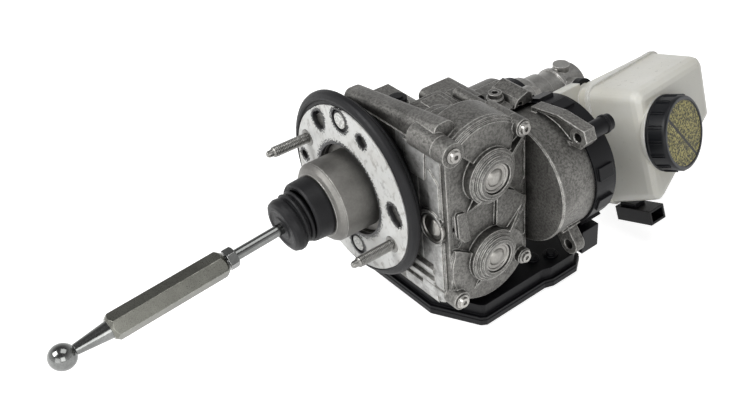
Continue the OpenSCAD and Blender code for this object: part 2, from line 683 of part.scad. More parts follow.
module motor_end_ring() {
  color(black) difference() {
    union() {
      along_y(motor_x, ring_y + 0.05) cylinder(r = ring_r, h = ring_end - ring_y, $fn = 128);
      for (a = [-45, -15, 15, 85, 110, 135]) translate([motor_x, ring_y + 2, 0]) rotate([0, -a, 0])
        translate([ring_r - 2, 0, -5]) cube([4, 14, 10]);
    }
    along_y(motor_x, ring_y - 1) cylinder(r = motor_r - 4, h = ring_end - ring_y - 3, $fn = 96);
  }
  color(black) along_y(motor_x, ring_end - 12.2) difference() {
    cylinder(r = bearing_r + 3, h = 9);
    translate([0, 0, -1]) cylinder(r = bearing_r, h = 8.2);
    translate([0, 0, -1]) cylinder(r = 6.5, h = 8.4);
  }
}
module stator() {
  color([0.35, 0.3, 0.26]) along_y(motor_x, motor_y + 6) difference() {
    cylinder(r = motor_r - 4.05, h = 36, $fn = 96);
    translate([0, 0, -1]) cylinder(r = 26, h = 38);
    for (a = [0:30:359]) rotate(a) translate([28, -2.6, -1]) cube([9, 5.2, 38]);
  }
}
module ring_sleeve() {
  color(black) along_y(motor_x + lug_up[0], ring_y + 0.05, lug_up[1]) difference() {
    union() {
      cylinder(r = 6.2, h = 21);
      translate([0, 0, 15]) cylinder(r = 7, h = 2);
      rotate(180 - 50) translate([0, -3, 6]) cube([12, 6, 12]);
    }
    translate([0, 0, -1]) cylinder(r = 3.6, h = 30);
    translate([-lug_up[0], lug_up[1], -1]) cylinder(r = ring_r + 0.05, h = 40, $fn = 96);
  }
}
module motor_connector() {
  color(black) difference() {
    translate([motor_x + 12, ring_y + 3, -66]) cube([22, 17, 20]);
    along_y(motor_x, ring_y) cylinder(r = ring_r + gap, h = 40, $fn = 96);
  }
}

// Control unit
module ecu_outline(g) {
  polygon([[-46 - g, 19 - g], [60 + g * 0.4, 19 - g], [95.6 + g * 0.8, 37 - g * 0.8],
    [98.4 + g, 41 - g * 0.4], [98.4 + g, 100], [101 + g, 107], [101 + g, 132 + g * 0.4],
    [93 + g * 0.4, 143 + g], [-30, 143 + g], [-46 - g, 128 + g * 0.4]]);
}
ecu_split = 6;
module ecu_case() {
  color(black) difference() {
    union() {
      slab_z(ecu_z + ecu_split, ecu_z + ecu_h) ecu_outline(-3);
      slab_z(ecu_z + ecu_split, ecu_z + ecu_split + 2.4) ecu_outline(-0.4);
    }
    slab_z(ecu_z + ecu_split - 1, ecu_z + ecu_h - ecu_wall) ecu_outline(-3 - ecu_wall);
    translate([-40, 109, ecu_z + ecu_split + 3]) cube([20, 16, 20]);
  }
}
module ecu_cover() {
  color(black) difference() {
    union() {
      slab_z(ecu_z + 1.6, ecu_z + ecu_split) ecu_outline(0);
      slab_z(ecu_z, ecu_z + 1.8) ecu_outline(-2);
    }
    slab_z(ecu_z + ecu_wall, ecu_z + ecu_split + 1) ecu_outline(-3 - ecu_wall);
  }
}
module circuit_board() {
  color([0.1, 0.35, 0.2]) {
    slab_z(ecu_z + ecu_split + 1, ecu_z + ecu_split + 2.6) ecu_outline(-3 - ecu_wall - gap);
    translate([20, 60, ecu_z + ecu_split + 2.6]) cube([26, 26, 3]);
    translate([60, 70, ecu_z + ecu_split + 2.6]) cylinder(r = 7, h = 5);
    translate([60, 90, ecu_z + ecu_split + 2.6]) cylinder(r = 7, h = 5);
    translate([-20, 40, ecu_z + ecu_split + 2.6]) cube([14, 20, 3]);
  }
}
module ecu_connector() {
  z0 = ecu_z + ecu_h;
  color([0.14, 0.14, 0.15]) difference() {
    union() {
      translate([-43, 106.5, z0]) cube([27, 21, 24]);
      translate([-40 + gap, 109 + gap, z0 - ecu_wall]) cube([20 - 2 * gap, 16 - 2 * gap, 4]);
    }
    translate([-44, 109, z0 + 3]) cube([18, 16, 18.4]);
  }
  color(zinc) for (y = [113, 117, 121], z = [8, 13, 18])
    translate([-34, y, z0 + z]) rotate([0, 90, 0]) cylinder(r = 0.8, h = 8.1);
}
module ecu_screws() {
  color([0.16, 0.16, 0.17]) for (p = [[86, 118], [80, 104], [20, 136], [56, 136]])
    translate([p[0], p[1], ecu_z + ecu_h]) {
      cylinder(r = 5.5, h = 1);
      cylinder(r = 3.6, h = 3);
    }
}

// Master cylinder with its pistons
module master_cylinder() {
  color(cast) difference() {
    union() {
      along_y(0, 122) cylinder(r = 16.5, h = mc_face - 122 + 1);
      along_y(0, mc_face) cylinder(r = 27, h = 8);
      along_y(0, mc_face + 8) cylinder(r1 = 24, r2 = 22.4, h = 6);
      along_y(0, mc_face + 14) cylinder(r = 22.4, h = 12);
      along_y(0, mc_face + 26) cylinder(r1 = 22.4, r2 = 19.3, h = 5);
      along_y(0, mc_face + 30) cylinder(r = 19.3, h = 13);
      along_y(0, mc_face + 42) cylinder(r = mc_r, h = mc_end - mc_face - 43.5);
      along_y(0, mc_end - 1.6) cylinder(r1 = mc_r, r2 = mc_r - 1.4, h = 1.6);
      along_y(0, mc_end - 24) cylinder(r = mc_r + 1.4, h = 3);
      // Ears for the two fixing nuts
      slab_y(mc_face, mc_face + 8) union() {
        for (s = [-1, 1]) translate([s * ear, s * ear]) circle(9);
        rotate(45) translate([-1.41 * ear, -9]) square([2.82 * ear, 18]);
      }
      // Boss near the end, outlet bosses and reservoir bosses
      along_y(0, mc_end - 14) translate([0, 0, 0]) rotate([90, 0, 0]) cylinder(r = 7, h = mc_r + 4);
      for (y = [mc_end - 46, mc_end - 18]) translate([0, y, 0]) rotate([0, 160.5, 0])
        cylinder(r = 8, h = mc_r + 7);
      for (y = port_y) translate([0, y, 0]) rotate([0, 90 - res_turn, 0])
        cylinder(r = 9.5, h = mc_r + 6.5);
    }
    along_y(0, 120) cylinder(r = bore_r, h = bore_end - 120);
    for (y = [mc_end - 46, mc_end - 18]) translate([0, y, 0]) rotate([0, 160.5, 0])
      translate([0, 0, bore_r + 2.5]) cylinder(r = 5, h = 30);
    for (y = port_y) translate([0, y, 0]) rotate([0, 90 - res_turn, 0])
      translate([0, 0, bore_r + 2.5]) cylinder(r = 6.5, h = 30);
    for (s = [-1, 1]) along_y(s * ear, mc_face - 1, s * ear) cylinder(r = 3.4, h = 12);
  }
}
module cylinder_nuts() {
  color(zinc) for (s = [-1, 1]) along_y(s * ear, mc_face - 12, s * ear) {
    cylinder(r = 3, h = 29);
    translate([0, 0, 20]) cylinder(r = 7.4, h = 1.4);
    translate([0, 0, 21.4]) hex(11, 6);
  }
}
// Casting lugs and the black bracket between gearbox and cylinder
module cylinder_bracket() {
  color(black) difference() {
    slab_y(mc_face + 12, mc_face + 17) union() {
      circle(25.5);
      rotate(res_turn) translate([0, -20]) square([38, 26]);
    }
    along_y(0, mc_face) cylinder(r = 23.3, h = 40);
    for (s = [-1, 1]) along_y(s * ear, mc_face, s * ear) cylinder(r = 8, h = 40);
  }
}
module primary_piston() {
  color(steel) along_y(0, nose_end) difference() {
    cylinder(r = bore_r - run, h = piston_len);
    translate([0, 0, piston_len - 10]) cylinder(r = 8.6, h = 11);
    for (y = [20, 30]) translate([0, 0, y]) difference() {
      cylinder(r = bore_r + 1, h = 2.4);
      translate([0, 0, -1]) cylinder(r = bore_r - 1.4, h = 5);
    }
  }
}
module secondary_piston() {
  color(steel) along_y(0, second_y) difference() {
    cylinder(r = bore_r - run, h = second_len);
    translate([0, 0, -1]) cylinder(r = 8.6, h = 5);
    translate([0, 0, second_len - 4]) cylinder(r = 8.6, h = 5);
    for (y = [7, 13]) translate([0, 0, y]) difference() {
      cylinder(r = bore_r + 1, h = 2.4);
      translate([0, 0, -1]) cylinder(r = bore_r - 1.4, h = 5);
    }
  }
}
module primary_spring() {
  y0 = nose_end + piston_len - 10;
  color(steel) along_y(0, y0 + 0.1) coil(6.9, second_y + 4 - y0 - 0.2, 5, 0.8);
}
module secondary_spring() {
  y0 = second_y + second_len - 4;
  color(steel) along_y(0, y0 + 0.1) coil(6.9, bore_end - y0 - 0.2, 5, 0.8);
}
module return_spring() {
  color(steel) along_y(0, carrier_end + 0.1) coil(13, 122 - carrier_end - 0.2, 5, 1.3);
}

// Pedal side
module push_rod() {
  color(steel) rod_frame() {
    sphere(r = 6);
    cylinder(d = rod_d - 1.5, h = 12);
    translate([0, 0, 10]) cylinder(d = rod_d, h = nut_at + nut_t + 14 - 10);
  }
}
module jam_nut() {
  color(zinc) rod_frame() translate([0, 0, nut_at]) difference() {
    intersection() {
      hex(13, nut_t);
      cylinder(r1 = 6.7, r2 = 6.7 + nut_t, h = nut_t);
    }
    translate([0, 0, -1]) cylinder(d = rod_d, h = nut_t + 2);
  }
}
module hex_sleeve() {
  r = sleeve_af / 2 / cos(30);
  color(zinc) rod_frame() translate([0, 0, sleeve_at]) difference() {
    intersection() {
      hex(sleeve_af, sleeve_len);
      union() {
        cylinder(r1 = r - 2.4, r2 = r + 0.1, h = 3.2);
        translate([0, 0, 3.1]) cylinder(r = r + 0.1, h = sleeve_len - 6.2);
        translate([0, 0, sleeve_len - 3.2]) cylinder(r1 = r + 0.1, r2 = r - 2.4, h = 3.2);
      }
    }
    translate([0, 0, -1]) cylinder(d = rod_d, h = 14);
    translate([0, 0, sleeve_len - 14]) cylinder(d = rod_d, h = 15);
  }
}
module ball_stud() {
  neck0 = sleeve_at + sleeve_len;
  color(steel) rod_frame() {
    translate([0, 0, neck0 - 12]) cylinder(d = rod_d, h = 12);
    translate([0, 0, neck0 - 0.01])
      cylinder(r1 = rod_d / 2 + 2.2, r2 = rod_d / 2 - 0.4, h = ball_reach - neck0 - ball_d / 2 + 1.6);
    translate([0, 0, ball_reach]) sphere(d = ball_d);
  }
}
module boot_section(tilt, profile) {
  translate([0, -pivot_y, 0]) rotate([90 + tilt, 0, 0]) rotate_extrude($fn = 64) polygon(profile);
}
module rod_boot() {
  // Distances run from the pivot towards the ball
  c0 = collar_len - pivot_y;
  hole = rod_d / 2 + run;
  f = c0 + boot_len;
  color(black) {
    boot_section(0, [[boot_r - 3.2, c0 - 3.4], [boot_r - 5, c0 - 3.4], [boot_r - 5, c0 + 13],
      [boot_r - 1.5, c0 + 14], [boot_r - 0.3, c0 + 12.5], [boot_r, c0 + 10],
      [boot_r + 0.5, c0 + 2], [boot_r, c0 + gap], [boot_r - 3.2, c0 + gap]]);
    boot_section(rod_droop * 0.5, [[13.4, c0 + 12], [15.6, c0 + 12], [16.2, c0 + 13.6],
      [18.8, c0 + 14.4], [19.2, c0 + 15.6], [18.4, c0 + 16.6], [16.4, c0 + 17.2],
      [16.4, c0 + 18], [18.6, c0 + 18.8], [19, c0 + 20], [18.2, c0 + 21],
      [15.8, c0 + 21.6], [13.4, c0 + 22]]);
    boot_section(rod_droop, [[hole, f], [hole, f - 3], [12.6, f - 4.4], [13.4, f - 9.6],
      [16, f - 10], [18.4, f - 9], [19.6, f - 7], [19.7, f - 4.6], [18.6, f - 1.6],
      [16, f - 0.2], [13.6, f], [12.4, f - 0.6], [9, f - 0.8], [8, f]]);
  }
}
module input_plunger() {
  color(steel) difference() {
    along_y(0, -pivot_y - 6) union() {
      cylinder(r = 9.6, h = 6 + pivot_y + 20);
    }
    translate([0, -pivot_y, 0]) sphere(r = 6.1);
    along_y(0, -pivot_y - 7) cylinder(r1 = 7.2, r2 = 4, h = 8);
  }
}
module rack_teeth(s) {
  p = PI * rack_module;
  h = p / 4 - tooth_play / 2;
  t = tan(press_angle);
  n = floor((stroke + 22) / p);
  for (i = [-n + 2:2]) translate([shaft_y + i * p, s * rack_pitch_z])
    polygon([[-h - rack_root * t, -s * rack_root], [-h + rack_tip * t, s * rack_tip],
      [h - rack_tip * t, s * rack_tip], [h + rack_root * t, -s * rack_root]]);
}
module rack_carrier() {
  root = rack_pitch_z - rack_root;
  color(steel) difference() {
    union() {
      slab_x(-rack_half_w, rack_half_w) union() {
        translate([2, -root - 0.01]) square([carrier_end - 2, 2 * root + 0.02]);
        rack_teeth(1);
        rack_teeth(-1);
      }
      along_y(0, 2) cylinder(r = 15.5, h = carrier_end - 2);
      along_y(0, carrier_end - 1) cylinder(r = 7.8, h = nose_end + 0.9 - carrier_end);
    }
    along_y(0, 1) cylinder(r = 9.6 + run, h = 19.2);
  }
}
module cross_shaft(s, turn) {
  x0 = left_x + 4.4;
  color(steel) {
    along_x(x0, shaft_y, s * shaft_z) cylinder(d = shaft_d, h = shaft_end - x0);
    along_x(-10, shaft_y, s * shaft_z) rotate(turn) linear_extrude(20) union() {
      circle(root_r + 0.2);
      for (i = [0:pinion_teeth - 1]) polygon(tooth(i * 360 / pinion_teeth));
    }
  }
}
module worm_wheel(s) {
  n = wheel_teeth;
  d = 360 / n;
  r0 = wheel_r - 3;
  color([0.85, 0.8, 0.65]) along_x(motor_x - wheel_w / 2, shaft_y, s * shaft_z)
    linear_extrude(wheel_w) difference() {
      polygon([for (i = [0:n - 1]) each [polar(r0, (i - 0.3) * d), polar(wheel_r, (i - 0.14) * d),
        polar(wheel_r, (i + 0.14) * d), polar(r0, (i + 0.3) * d)]]);
      circle(d = shaft_d);
    }
}
// A tooth gap of each pinion faces the rack at rest
module upper_shaft() {
  cross_shaft(1, 180 / pinion_teeth);
}
module lower_shaft() {
  cross_shaft(-1, 180 / pinion_teeth);
}
module upper_wheel() {
  worm_wheel(1);
}
module lower_wheel() {
  worm_wheel(-1);
}
module worm_shaft() {
  color(steel) {
    along_y(motor_x, box_y + 5) cylinder(r = 5, h = ring_end - 5.4 - box_y - 5);
    along_y(motor_x, shaft_y - worm_len / 2)
      linear_extrude(worm_len, twist = 360 * worm_len / worm_lead, slices = 40,
      segments = 18)
        for (i = [0:worm_starts - 1]) rotate(i * 360 / worm_starts)
          translate([worm_depth, 0]) circle(worm_r - worm_depth, $fn = 8);
  }
}
module rotor() {
  color([0.3, 0.3, 0.32]) along_y(motor_x, motor_y + 8) difference() {
    cylinder(r = 25, h = 31.5);
    translate([0, 0, -1]) cylinder(r = 5, h = 34);
  }
}

// Reservoir: corners as [y, w] in its own frame, near face first
res_y0 = 193;
res_y1 = 291;
seam_u = 52;
top_u = 104.5;
res_w0 = 6.5;
res_low_u = 31;
foot_y = 168;
lid_t = tan(res_tilt);
cap_y = 217.7;
cap_w = -34.2;
neck_r = 24.5;
neck_h = 11.4;
port_y = [180, 212];
seam_at = [[res_y0, res_w0], [res_y0, -92], [res_y1, res_w0], [res_y1, -56]];
top_at = [[res_y0 + 2, res_w0 - 1], [res_y0 + 2, -85], [res_y1 - 3, res_w0 - 1],
  [res_y1 - 5, -49]];
low_at = [[res_y0 + 1, res_w0 - 1, 0], [res_y0 + 1, -90, 11], [res_y1 - 2, res_w0 - 1, 0],
  [res_y1 - 2, -54, 3]];
// Height of the seam and of the top face at a distance behind the flange
function slope(u, y) = u - (y - res_y0) * lid_t;
function inset(p, r) = [p[0] + (p[0] < 240 ? r : -r), p[1] + (p[1] < -40 ? r : -r)];
module seam_disc(p, u, r, h) {
  q = inset(p, res_round);
  translate([slope(u, q[0]), q[0], q[1]]) rotate([0, 0, res_tilt]) rotate([0, 90, 0])
    cylinder(r = r, h = h, $fn = 24);
}
// The upper shell: straight walls that round into the top face in three steps
round_steps = [[0, 1], [0.5, 0.866], [0.866, 0.5], [1, 0.12]];
module upper_form(r) {
  hull() {
    for (p = seam_at) seam_disc(p, seam_u + run, r, 0.5);
    for (p = top_at, k = round_steps)
      seam_disc(p, top_u - res_round + k[0] * r - 0.05, r * k[1], 0.05);
  }
}
// The lower shell: a bottom face with chamfered edges, raised by lift for the inside
module lower_form(r, lift) {
  hull() {
    for (p = seam_at) seam_disc(p, seam_u - 0.6, r, 0.5);
    for (p = low_at) let (q = inset(p, res_round))
      translate([res_low_u + p[2] + lift, q[0], q[1]]) rotate([0, 90, 0])
        cylinder(r1 = r - 3, r2 = r, h = 3, $fn = 24);
  }
}
module cap_frame() {
  translate([slope(top_u, cap_y) + 0.6, cap_y, cap_w]) rotate([0, 0, cap_tilt])
    rotate([0, 90, 0]) children();
}
module seam_slab(u, h, r) {
  hull() for (p = seam_at) seam_disc(p, u, r, h);
}
module reservoir_upper() {
  color([0.9, 0.9, 0.86]) res_frame() difference() {
    union() {
      upper_form(res_round);
      seam_slab(seam_u + 0.1, 1.9, res_round + 1.6);
      cap_frame() translate([0, 0, -2]) cylinder(r = neck_r, h = neck_h + 2);
      // Level seat under the cap, since the cap tilts more than the top face
      cap_frame() translate([0, 0, -5]) cylinder(r1 = cap_r - 4, r2 = cap_r - 0.4, h = 5.4, $fn = 96);
    }
    // Nothing of the top face stands in the cap's way
    cap_frame() translate([0, 0, 0.4]) difference() {
      cylinder(r = cap_r + 1, h = 20, $fn = 96);
      translate([0, 0, -1]) cylinder(r = neck_r, h = 30);
    }
    translate([-0.7, 0, 0]) upper_form(res_round - res_wall);
    seam_slab(seam_u - 4, 5, res_round - res_wall);
    cap_frame() translate([0, 0, -6]) cylinder(r = neck_r - 3.5, h = neck_h + 10);
  }
}
module reservoir_lower() {
  foot_w = 28;
  color([0.9, 0.9, 0.86]) res_frame() difference() {
    union() {
      lower_form(res_round, 0);
      seam_slab(seam_u - 1.8, 1.8, res_round + 1.6);
      // Foot that reaches back over the rear port
      translate([res_low_u, foot_y, -foot_w / 2 - 4]) cube([10, res_y0 - foot_y + 6, foot_w]);
      for (y = port_y) translate([mc_r + 0.5, y, 0]) rotate([0, 90, 0])
        cylinder(r = 5.2, h = res_low_u - mc_r + 3);
    }
    lower_form(res_round - res_wall, res_wall);
    seam_slab(seam_u - 4, 6, res_round - res_wall);
    translate([res_low_u + 2.5, foot_y + 2.5, -foot_w / 2 - 1.5])
      cube([5, res_y0 - foot_y + 9, foot_w - 5]);
    for (y = port_y) translate([mc_r - 1, y, 0]) rotate([0, 90, 0])
      cylinder(r = 3.4, h = res_low_u - mc_r + 6);
  }
}
module reservoir_grommets() {
  color(black) res_frame() for (y = port_y) translate([0, y, 0]) rotate([0, 90, 0])
    difference() {
      union() {
        translate([0, 0, mc_r + 1]) cylinder(r = 6.45, h = 8);
        translate([0, 0, mc_r + 6.55]) cylinder(r = 9, h = res_low_u - mc_r - 6.6);
      }
      cylinder(r = 5.25, h = 60);
    }
}
module level_socket() {
  color(black) res_frame() difference() {
    union() {
      translate([52, 198, -106.5]) cube([37, 17, 12]);
      translate([55.5, 201, -96]) cube([16.5, 11, 4.2]);
    }
    translate([64, 200, -104.5]) cube([30, 13, 8]);
  }
}
// Filler cap with its seal; the cap's skirt runs down over the neck
module cap_seal() {
  color([0.2, 0.2, 0.22]) res_frame() cap_frame() translate([0, 0, neck_h + 0.05])
    difference() {
      cylinder(r = neck_r - 0.5, h = 1.8);
      translate([0, 0, -1]) cylinder(r = neck_r - 3, h = 4);
    }
}
module filler_cap() {
  color(black) res_frame() cap_frame() difference() {
    union() {
      translate([0, 0, 1]) cylinder(r = cap_r, h = cap_h - 2.5, $fn = 96);
      translate([0, 0, cap_h - 1.5]) cylinder(r1 = cap_r, r2 = cap_r - 2, h = 1.5, $fn = 96);
    }
    translate([0, 0, 0]) cylinder(r = neck_r + 1.2, h = neck_h + 1.9);
    translate([0, 0, cap_h - 0.8]) cylinder(r = cap_r - 3.5, h = 2);
    for (a = [0:20:359]) rotate(a) translate([cap_r + 2.4, 0, 3.5])
      cylinder(r = 3.6, h = cap_h + 2, $fn = 24);
  }
}

flange_plate();
bulkhead_gasket();
mounting_studs();
plate_plugs();
guide_collar();
gearbox_housing();
front_wall();
front_pad();
gear_cover();
cover_screws();
bearing_plugs();
shaft_bearings();
vent_plug();
motor_housing();
motor_end_ring();
stator();
ring_sleeve();
motor_connector();
ecu_case();
ecu_cover();
circuit_board();
ecu_connector();
ecu_screws();
master_cylinder();
cylinder_nuts();
cylinder_bracket();
reservoir_lower();
reservoir_upper();
reservoir_grommets();
level_socket();
return_spring();
primary_spring();
secondary_spring();
push_rod();
jam_nut();
hex_sleeve();
ball_stud();
rod_boot();
input_plunger();
rack_carrier();
primary_piston();
secondary_piston();
upper_shaft();
upper_wheel();
lower_shaft();
lower_wheel();
worm_shaft();
rotor();
cap_seal();
filler_cap();
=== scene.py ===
import math
import bpy
from mathutils import Matrix, Vector


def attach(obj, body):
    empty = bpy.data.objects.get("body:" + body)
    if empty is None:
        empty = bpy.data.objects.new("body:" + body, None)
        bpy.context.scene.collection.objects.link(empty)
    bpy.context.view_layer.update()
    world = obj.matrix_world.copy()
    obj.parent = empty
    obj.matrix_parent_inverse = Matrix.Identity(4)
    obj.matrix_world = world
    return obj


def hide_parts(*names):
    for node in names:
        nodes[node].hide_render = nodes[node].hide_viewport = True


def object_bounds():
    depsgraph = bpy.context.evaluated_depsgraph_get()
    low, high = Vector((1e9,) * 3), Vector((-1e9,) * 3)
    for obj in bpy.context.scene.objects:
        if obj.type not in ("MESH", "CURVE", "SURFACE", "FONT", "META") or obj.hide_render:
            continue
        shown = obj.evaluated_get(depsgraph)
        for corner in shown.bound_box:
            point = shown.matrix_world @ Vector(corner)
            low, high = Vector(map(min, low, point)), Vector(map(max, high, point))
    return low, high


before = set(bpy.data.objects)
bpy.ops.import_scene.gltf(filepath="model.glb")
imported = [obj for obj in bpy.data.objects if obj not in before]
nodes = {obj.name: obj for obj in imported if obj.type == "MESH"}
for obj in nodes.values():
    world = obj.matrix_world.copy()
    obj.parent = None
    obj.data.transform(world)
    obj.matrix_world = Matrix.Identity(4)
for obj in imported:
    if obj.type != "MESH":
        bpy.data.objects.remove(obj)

cadLow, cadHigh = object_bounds()
print("stage: frame loaded,", len(nodes), "nodes")

mm = 0.001

# camera fitted to the photograph; lens and shift are Blender's own units
cameraSizes = {
    "place": (0.503610, -0.308459, 0.405324),
    "right": (0.687283, 0.726370, -0.005305),
    "up": (-0.431310, 0.413955, 0.801631),
    "back": (0.584477, -0.548660, 0.597795),
    "lens": 48.24,
    "shift": (-0.1986, 0.0120),
}


def makeCamera():
    data = bpy.data.cameras.new("viewCamera")
    camera = bpy.data.objects.new("viewCamera", data)
    bpy.context.scene.collection.objects.link(camera)
    data.sensor_width = 36
    data.lens = cameraSizes["lens"]
    data.shift_x, data.shift_y = cameraSizes["shift"]
    data.clip_start, data.clip_end = 0.01, 20
    turn = Matrix((cameraSizes["right"], cameraSizes["up"], cameraSizes["back"])).transposed()
    camera.matrix_world = Matrix.Translation(cameraSizes["place"]) @ turn.to_4x4()
    bpy.context.scene.camera = camera


makeCamera()


def addNode(tree, kind, settings=None, inputs=None):
    node = tree.nodes.new(kind)
    for key, value in (settings or {}).items():
        setattr(node, key, value)
    for key, value in (inputs or {}).items():
        socket = node.inputs[key]
        if isinstance(value, bpy.types.NodeSocket):
            tree.links.new(value, socket)
        else:
            socket.default_value = value
    return node


def mathNode(tree, operation, a, b=0.0, clamp=False):
    return addNode(tree, "ShaderNodeMath", {"operation": operation, "use_clamp": clamp},
                   {0: a, 1: b}).outputs[0]


def remap(tree, value, low, high, toLow=0.0, toHigh=1.0):
    return addNode(tree, "ShaderNodeMapRange", {"clamp": True},
                   {"Value": value, "From Min": low, "From Max": high,
                    "To Min": toLow, "To Max": toHigh}).outputs[0]


def mixColour(tree, factor, a, b, blend="MIX"):
    return addNode(tree, "ShaderNodeMix", {"data_type": "RGBA", "blend_type": blend},
                   {0: factor, 6: a, 7: b}).outputs[2]


def noiseAt(tree, vector, scale, detail=3.0, rough=0.55):
    return addNode(tree, "ShaderNodeTexNoise", None,
                   {"Vector": vector, "Scale": scale, "Detail": detail,
                    "Roughness": rough}).outputs[0]


def newGroup(name, inputs, outputs):
    tree = bpy.data.node_groups.new(name, "ShaderNodeTree")
    for label, kind, value in inputs:
        socket = tree.interface.new_socket(label, in_out="INPUT", socket_type=kind)
        if value is not None:
            socket.default_value = value
    for label, kind in outputs:
        tree.interface.new_socket(label, in_out="OUTPUT", socket_type=kind)
    return tree, tree.nodes.new("NodeGroupInput"), tree.nodes.new("NodeGroupOutput")


def makeSurfaceGrain():
    # mottled tone, fine relief and small pits, all from the piece's own place
    tree, given, out = newGroup(
        "surfaceGrain",
        [("Grain", "NodeSocketFloat", 900.0), ("Patch", "NodeSocketFloat", 28.0),
         ("Pit", "NodeSocketFloat", 520.0)],
        [("Tone", "NodeSocketFloat"), ("Relief", "NodeSocketFloat"), ("Pits", "NodeSocketFloat")])
    place = addNode(tree, "ShaderNodeTexCoord").outputs["Object"]
    patch = noiseAt(tree, place, given.outputs["Patch"], 5.0, 0.6)
    grain = noiseAt(tree, place, given.outputs["Grain"], 4.0, 0.7)
    cell = addNode(tree, "ShaderNodeTexVoronoi", {"feature": "F1"},
                   {"Vector": place, "Scale": given.outputs["Pit"]}).outputs["Distance"]
    pits = remap(tree, cell, 0.10, 0.24, 1.0, 0.0)
    choose = remap(tree, noiseAt(tree, place, 170.0, 2.0), 0.5, 0.62)
    tree.links.new(remap(tree, patch, 0.3, 0.7), out.inputs["Tone"])
    tree.links.new(grain, out.inputs["Relief"])
    tree.links.new(mathNode(tree, "MULTIPLY", pits, choose), out.inputs["Pits"])
    return tree


def makeEdgeWearAndHighlight():
    # edges lighter where the rounded normal leaves the face normal: partly edge wear, partly a
    # painted highlight
    tree, given, out = newGroup(
        "edgeWearAndHighlight",
        [("Radius", "NodeSocketFloat", 0.0012), ("Reach", "NodeSocketFloat", 0.2)],
        [("Mask", "NodeSocketFloat"), ("Normal", "NodeSocketVector")])
    bevel = addNode(tree, "ShaderNodeBevel", {"samples": 5}, {"Radius": given.outputs["Radius"]})
    normal = addNode(tree, "ShaderNodeNewGeometry").outputs["Normal"]
    dot = addNode(tree, "ShaderNodeVectorMath", {"operation": "DOT_PRODUCT"},
                  {0: bevel.outputs[0], 1: normal}).outputs["Value"]
    bend = mathNode(tree, "SUBTRACT", 1.0, dot)
    share = remap(tree, bend, 0.01, given.outputs["Reach"])
    place = addNode(tree, "ShaderNodeTexCoord").outputs["Object"]
    broken = remap(tree, noiseAt(tree, place, 240.0, 3.0), 0.35, 0.6, 0.35, 1.0)
    tree.links.new(mathNode(tree, "MULTIPLY", share, broken), out.inputs["Mask"])
    tree.links.new(bevel.outputs[0], out.inputs["Normal"])
    return tree


def makePaintedCreviceShade():
    # painted shade: ambient occlusion darkens crevices and hollows, made patchy by noise
    tree, given, out = newGroup(
        "paintedCreviceShade",
        [("Distance", "NodeSocketFloat", 0.012), ("Strength", "NodeSocketFloat", 1.0)],
        [("Mask", "NodeSocketFloat")])
    hollow = addNode(tree, "ShaderNodeAmbientOcclusion", {"samples": 6},
                     {"Distance": given.outputs["Distance"]}).outputs["AO"]
    place = addNode(tree, "ShaderNodeTexCoord").outputs["Object"]
    uneven = remap(tree, noiseAt(tree, place, 90.0, 4.0), 0.3, 0.7, 0.5, 1.0)
    dark = remap(tree, hollow, 0.35, 0.95, 1.0, 0.0)
    both = mathNode(tree, "MULTIPLY", dark, uneven)
    tree.links.new(mathNode(tree, "MULTIPLY", both, given.outputs["Strength"]), out.inputs["Mask"])
    return tree


surfaceGrain = makeSurfaceGrain()
edgeWearAndHighlight = makeEdgeWearAndHighlight()
paintedCreviceShade = makePaintedCreviceShade()


def useGroup(tree, group, inputs=None):
    return addNode(tree, "ShaderNodeGroup", {"node_tree": group}, inputs)


def startMaterial(name, fixed=None):
    material = bpy.data.materials.new(name)
    material.use_nodes = True
    tree = material.node_tree
    shader = tree.nodes["Principled BSDF"]
    for key, value in (fixed or {}).items():
        shader.inputs[key].default_value = value
    return material, tree, shader


def finishMaterial(tree, shader, colour=None, rough=None, metal=None, height=None, depth=0.0002,
                   normal=None, strength=1.0, coat=None):
    for label, value in (("Base Color", colour), ("Roughness", rough), ("Metallic", metal),
                         ("Coat Weight", coat)):
        if value is not None:
            tree.links.new(value, shader.inputs[label])
    if height is not None:
        given = {"Height": height, "Distance": depth, "Strength": strength}
        if normal is not None:
            given["Normal"] = normal
        bump = addNode(tree, "ShaderNodeBump", None, given)
        tree.links.new(bump.outputs[0], shader.inputs["Normal"])
    elif normal is not None:
        tree.links.new(normal, shader.inputs["Normal"])
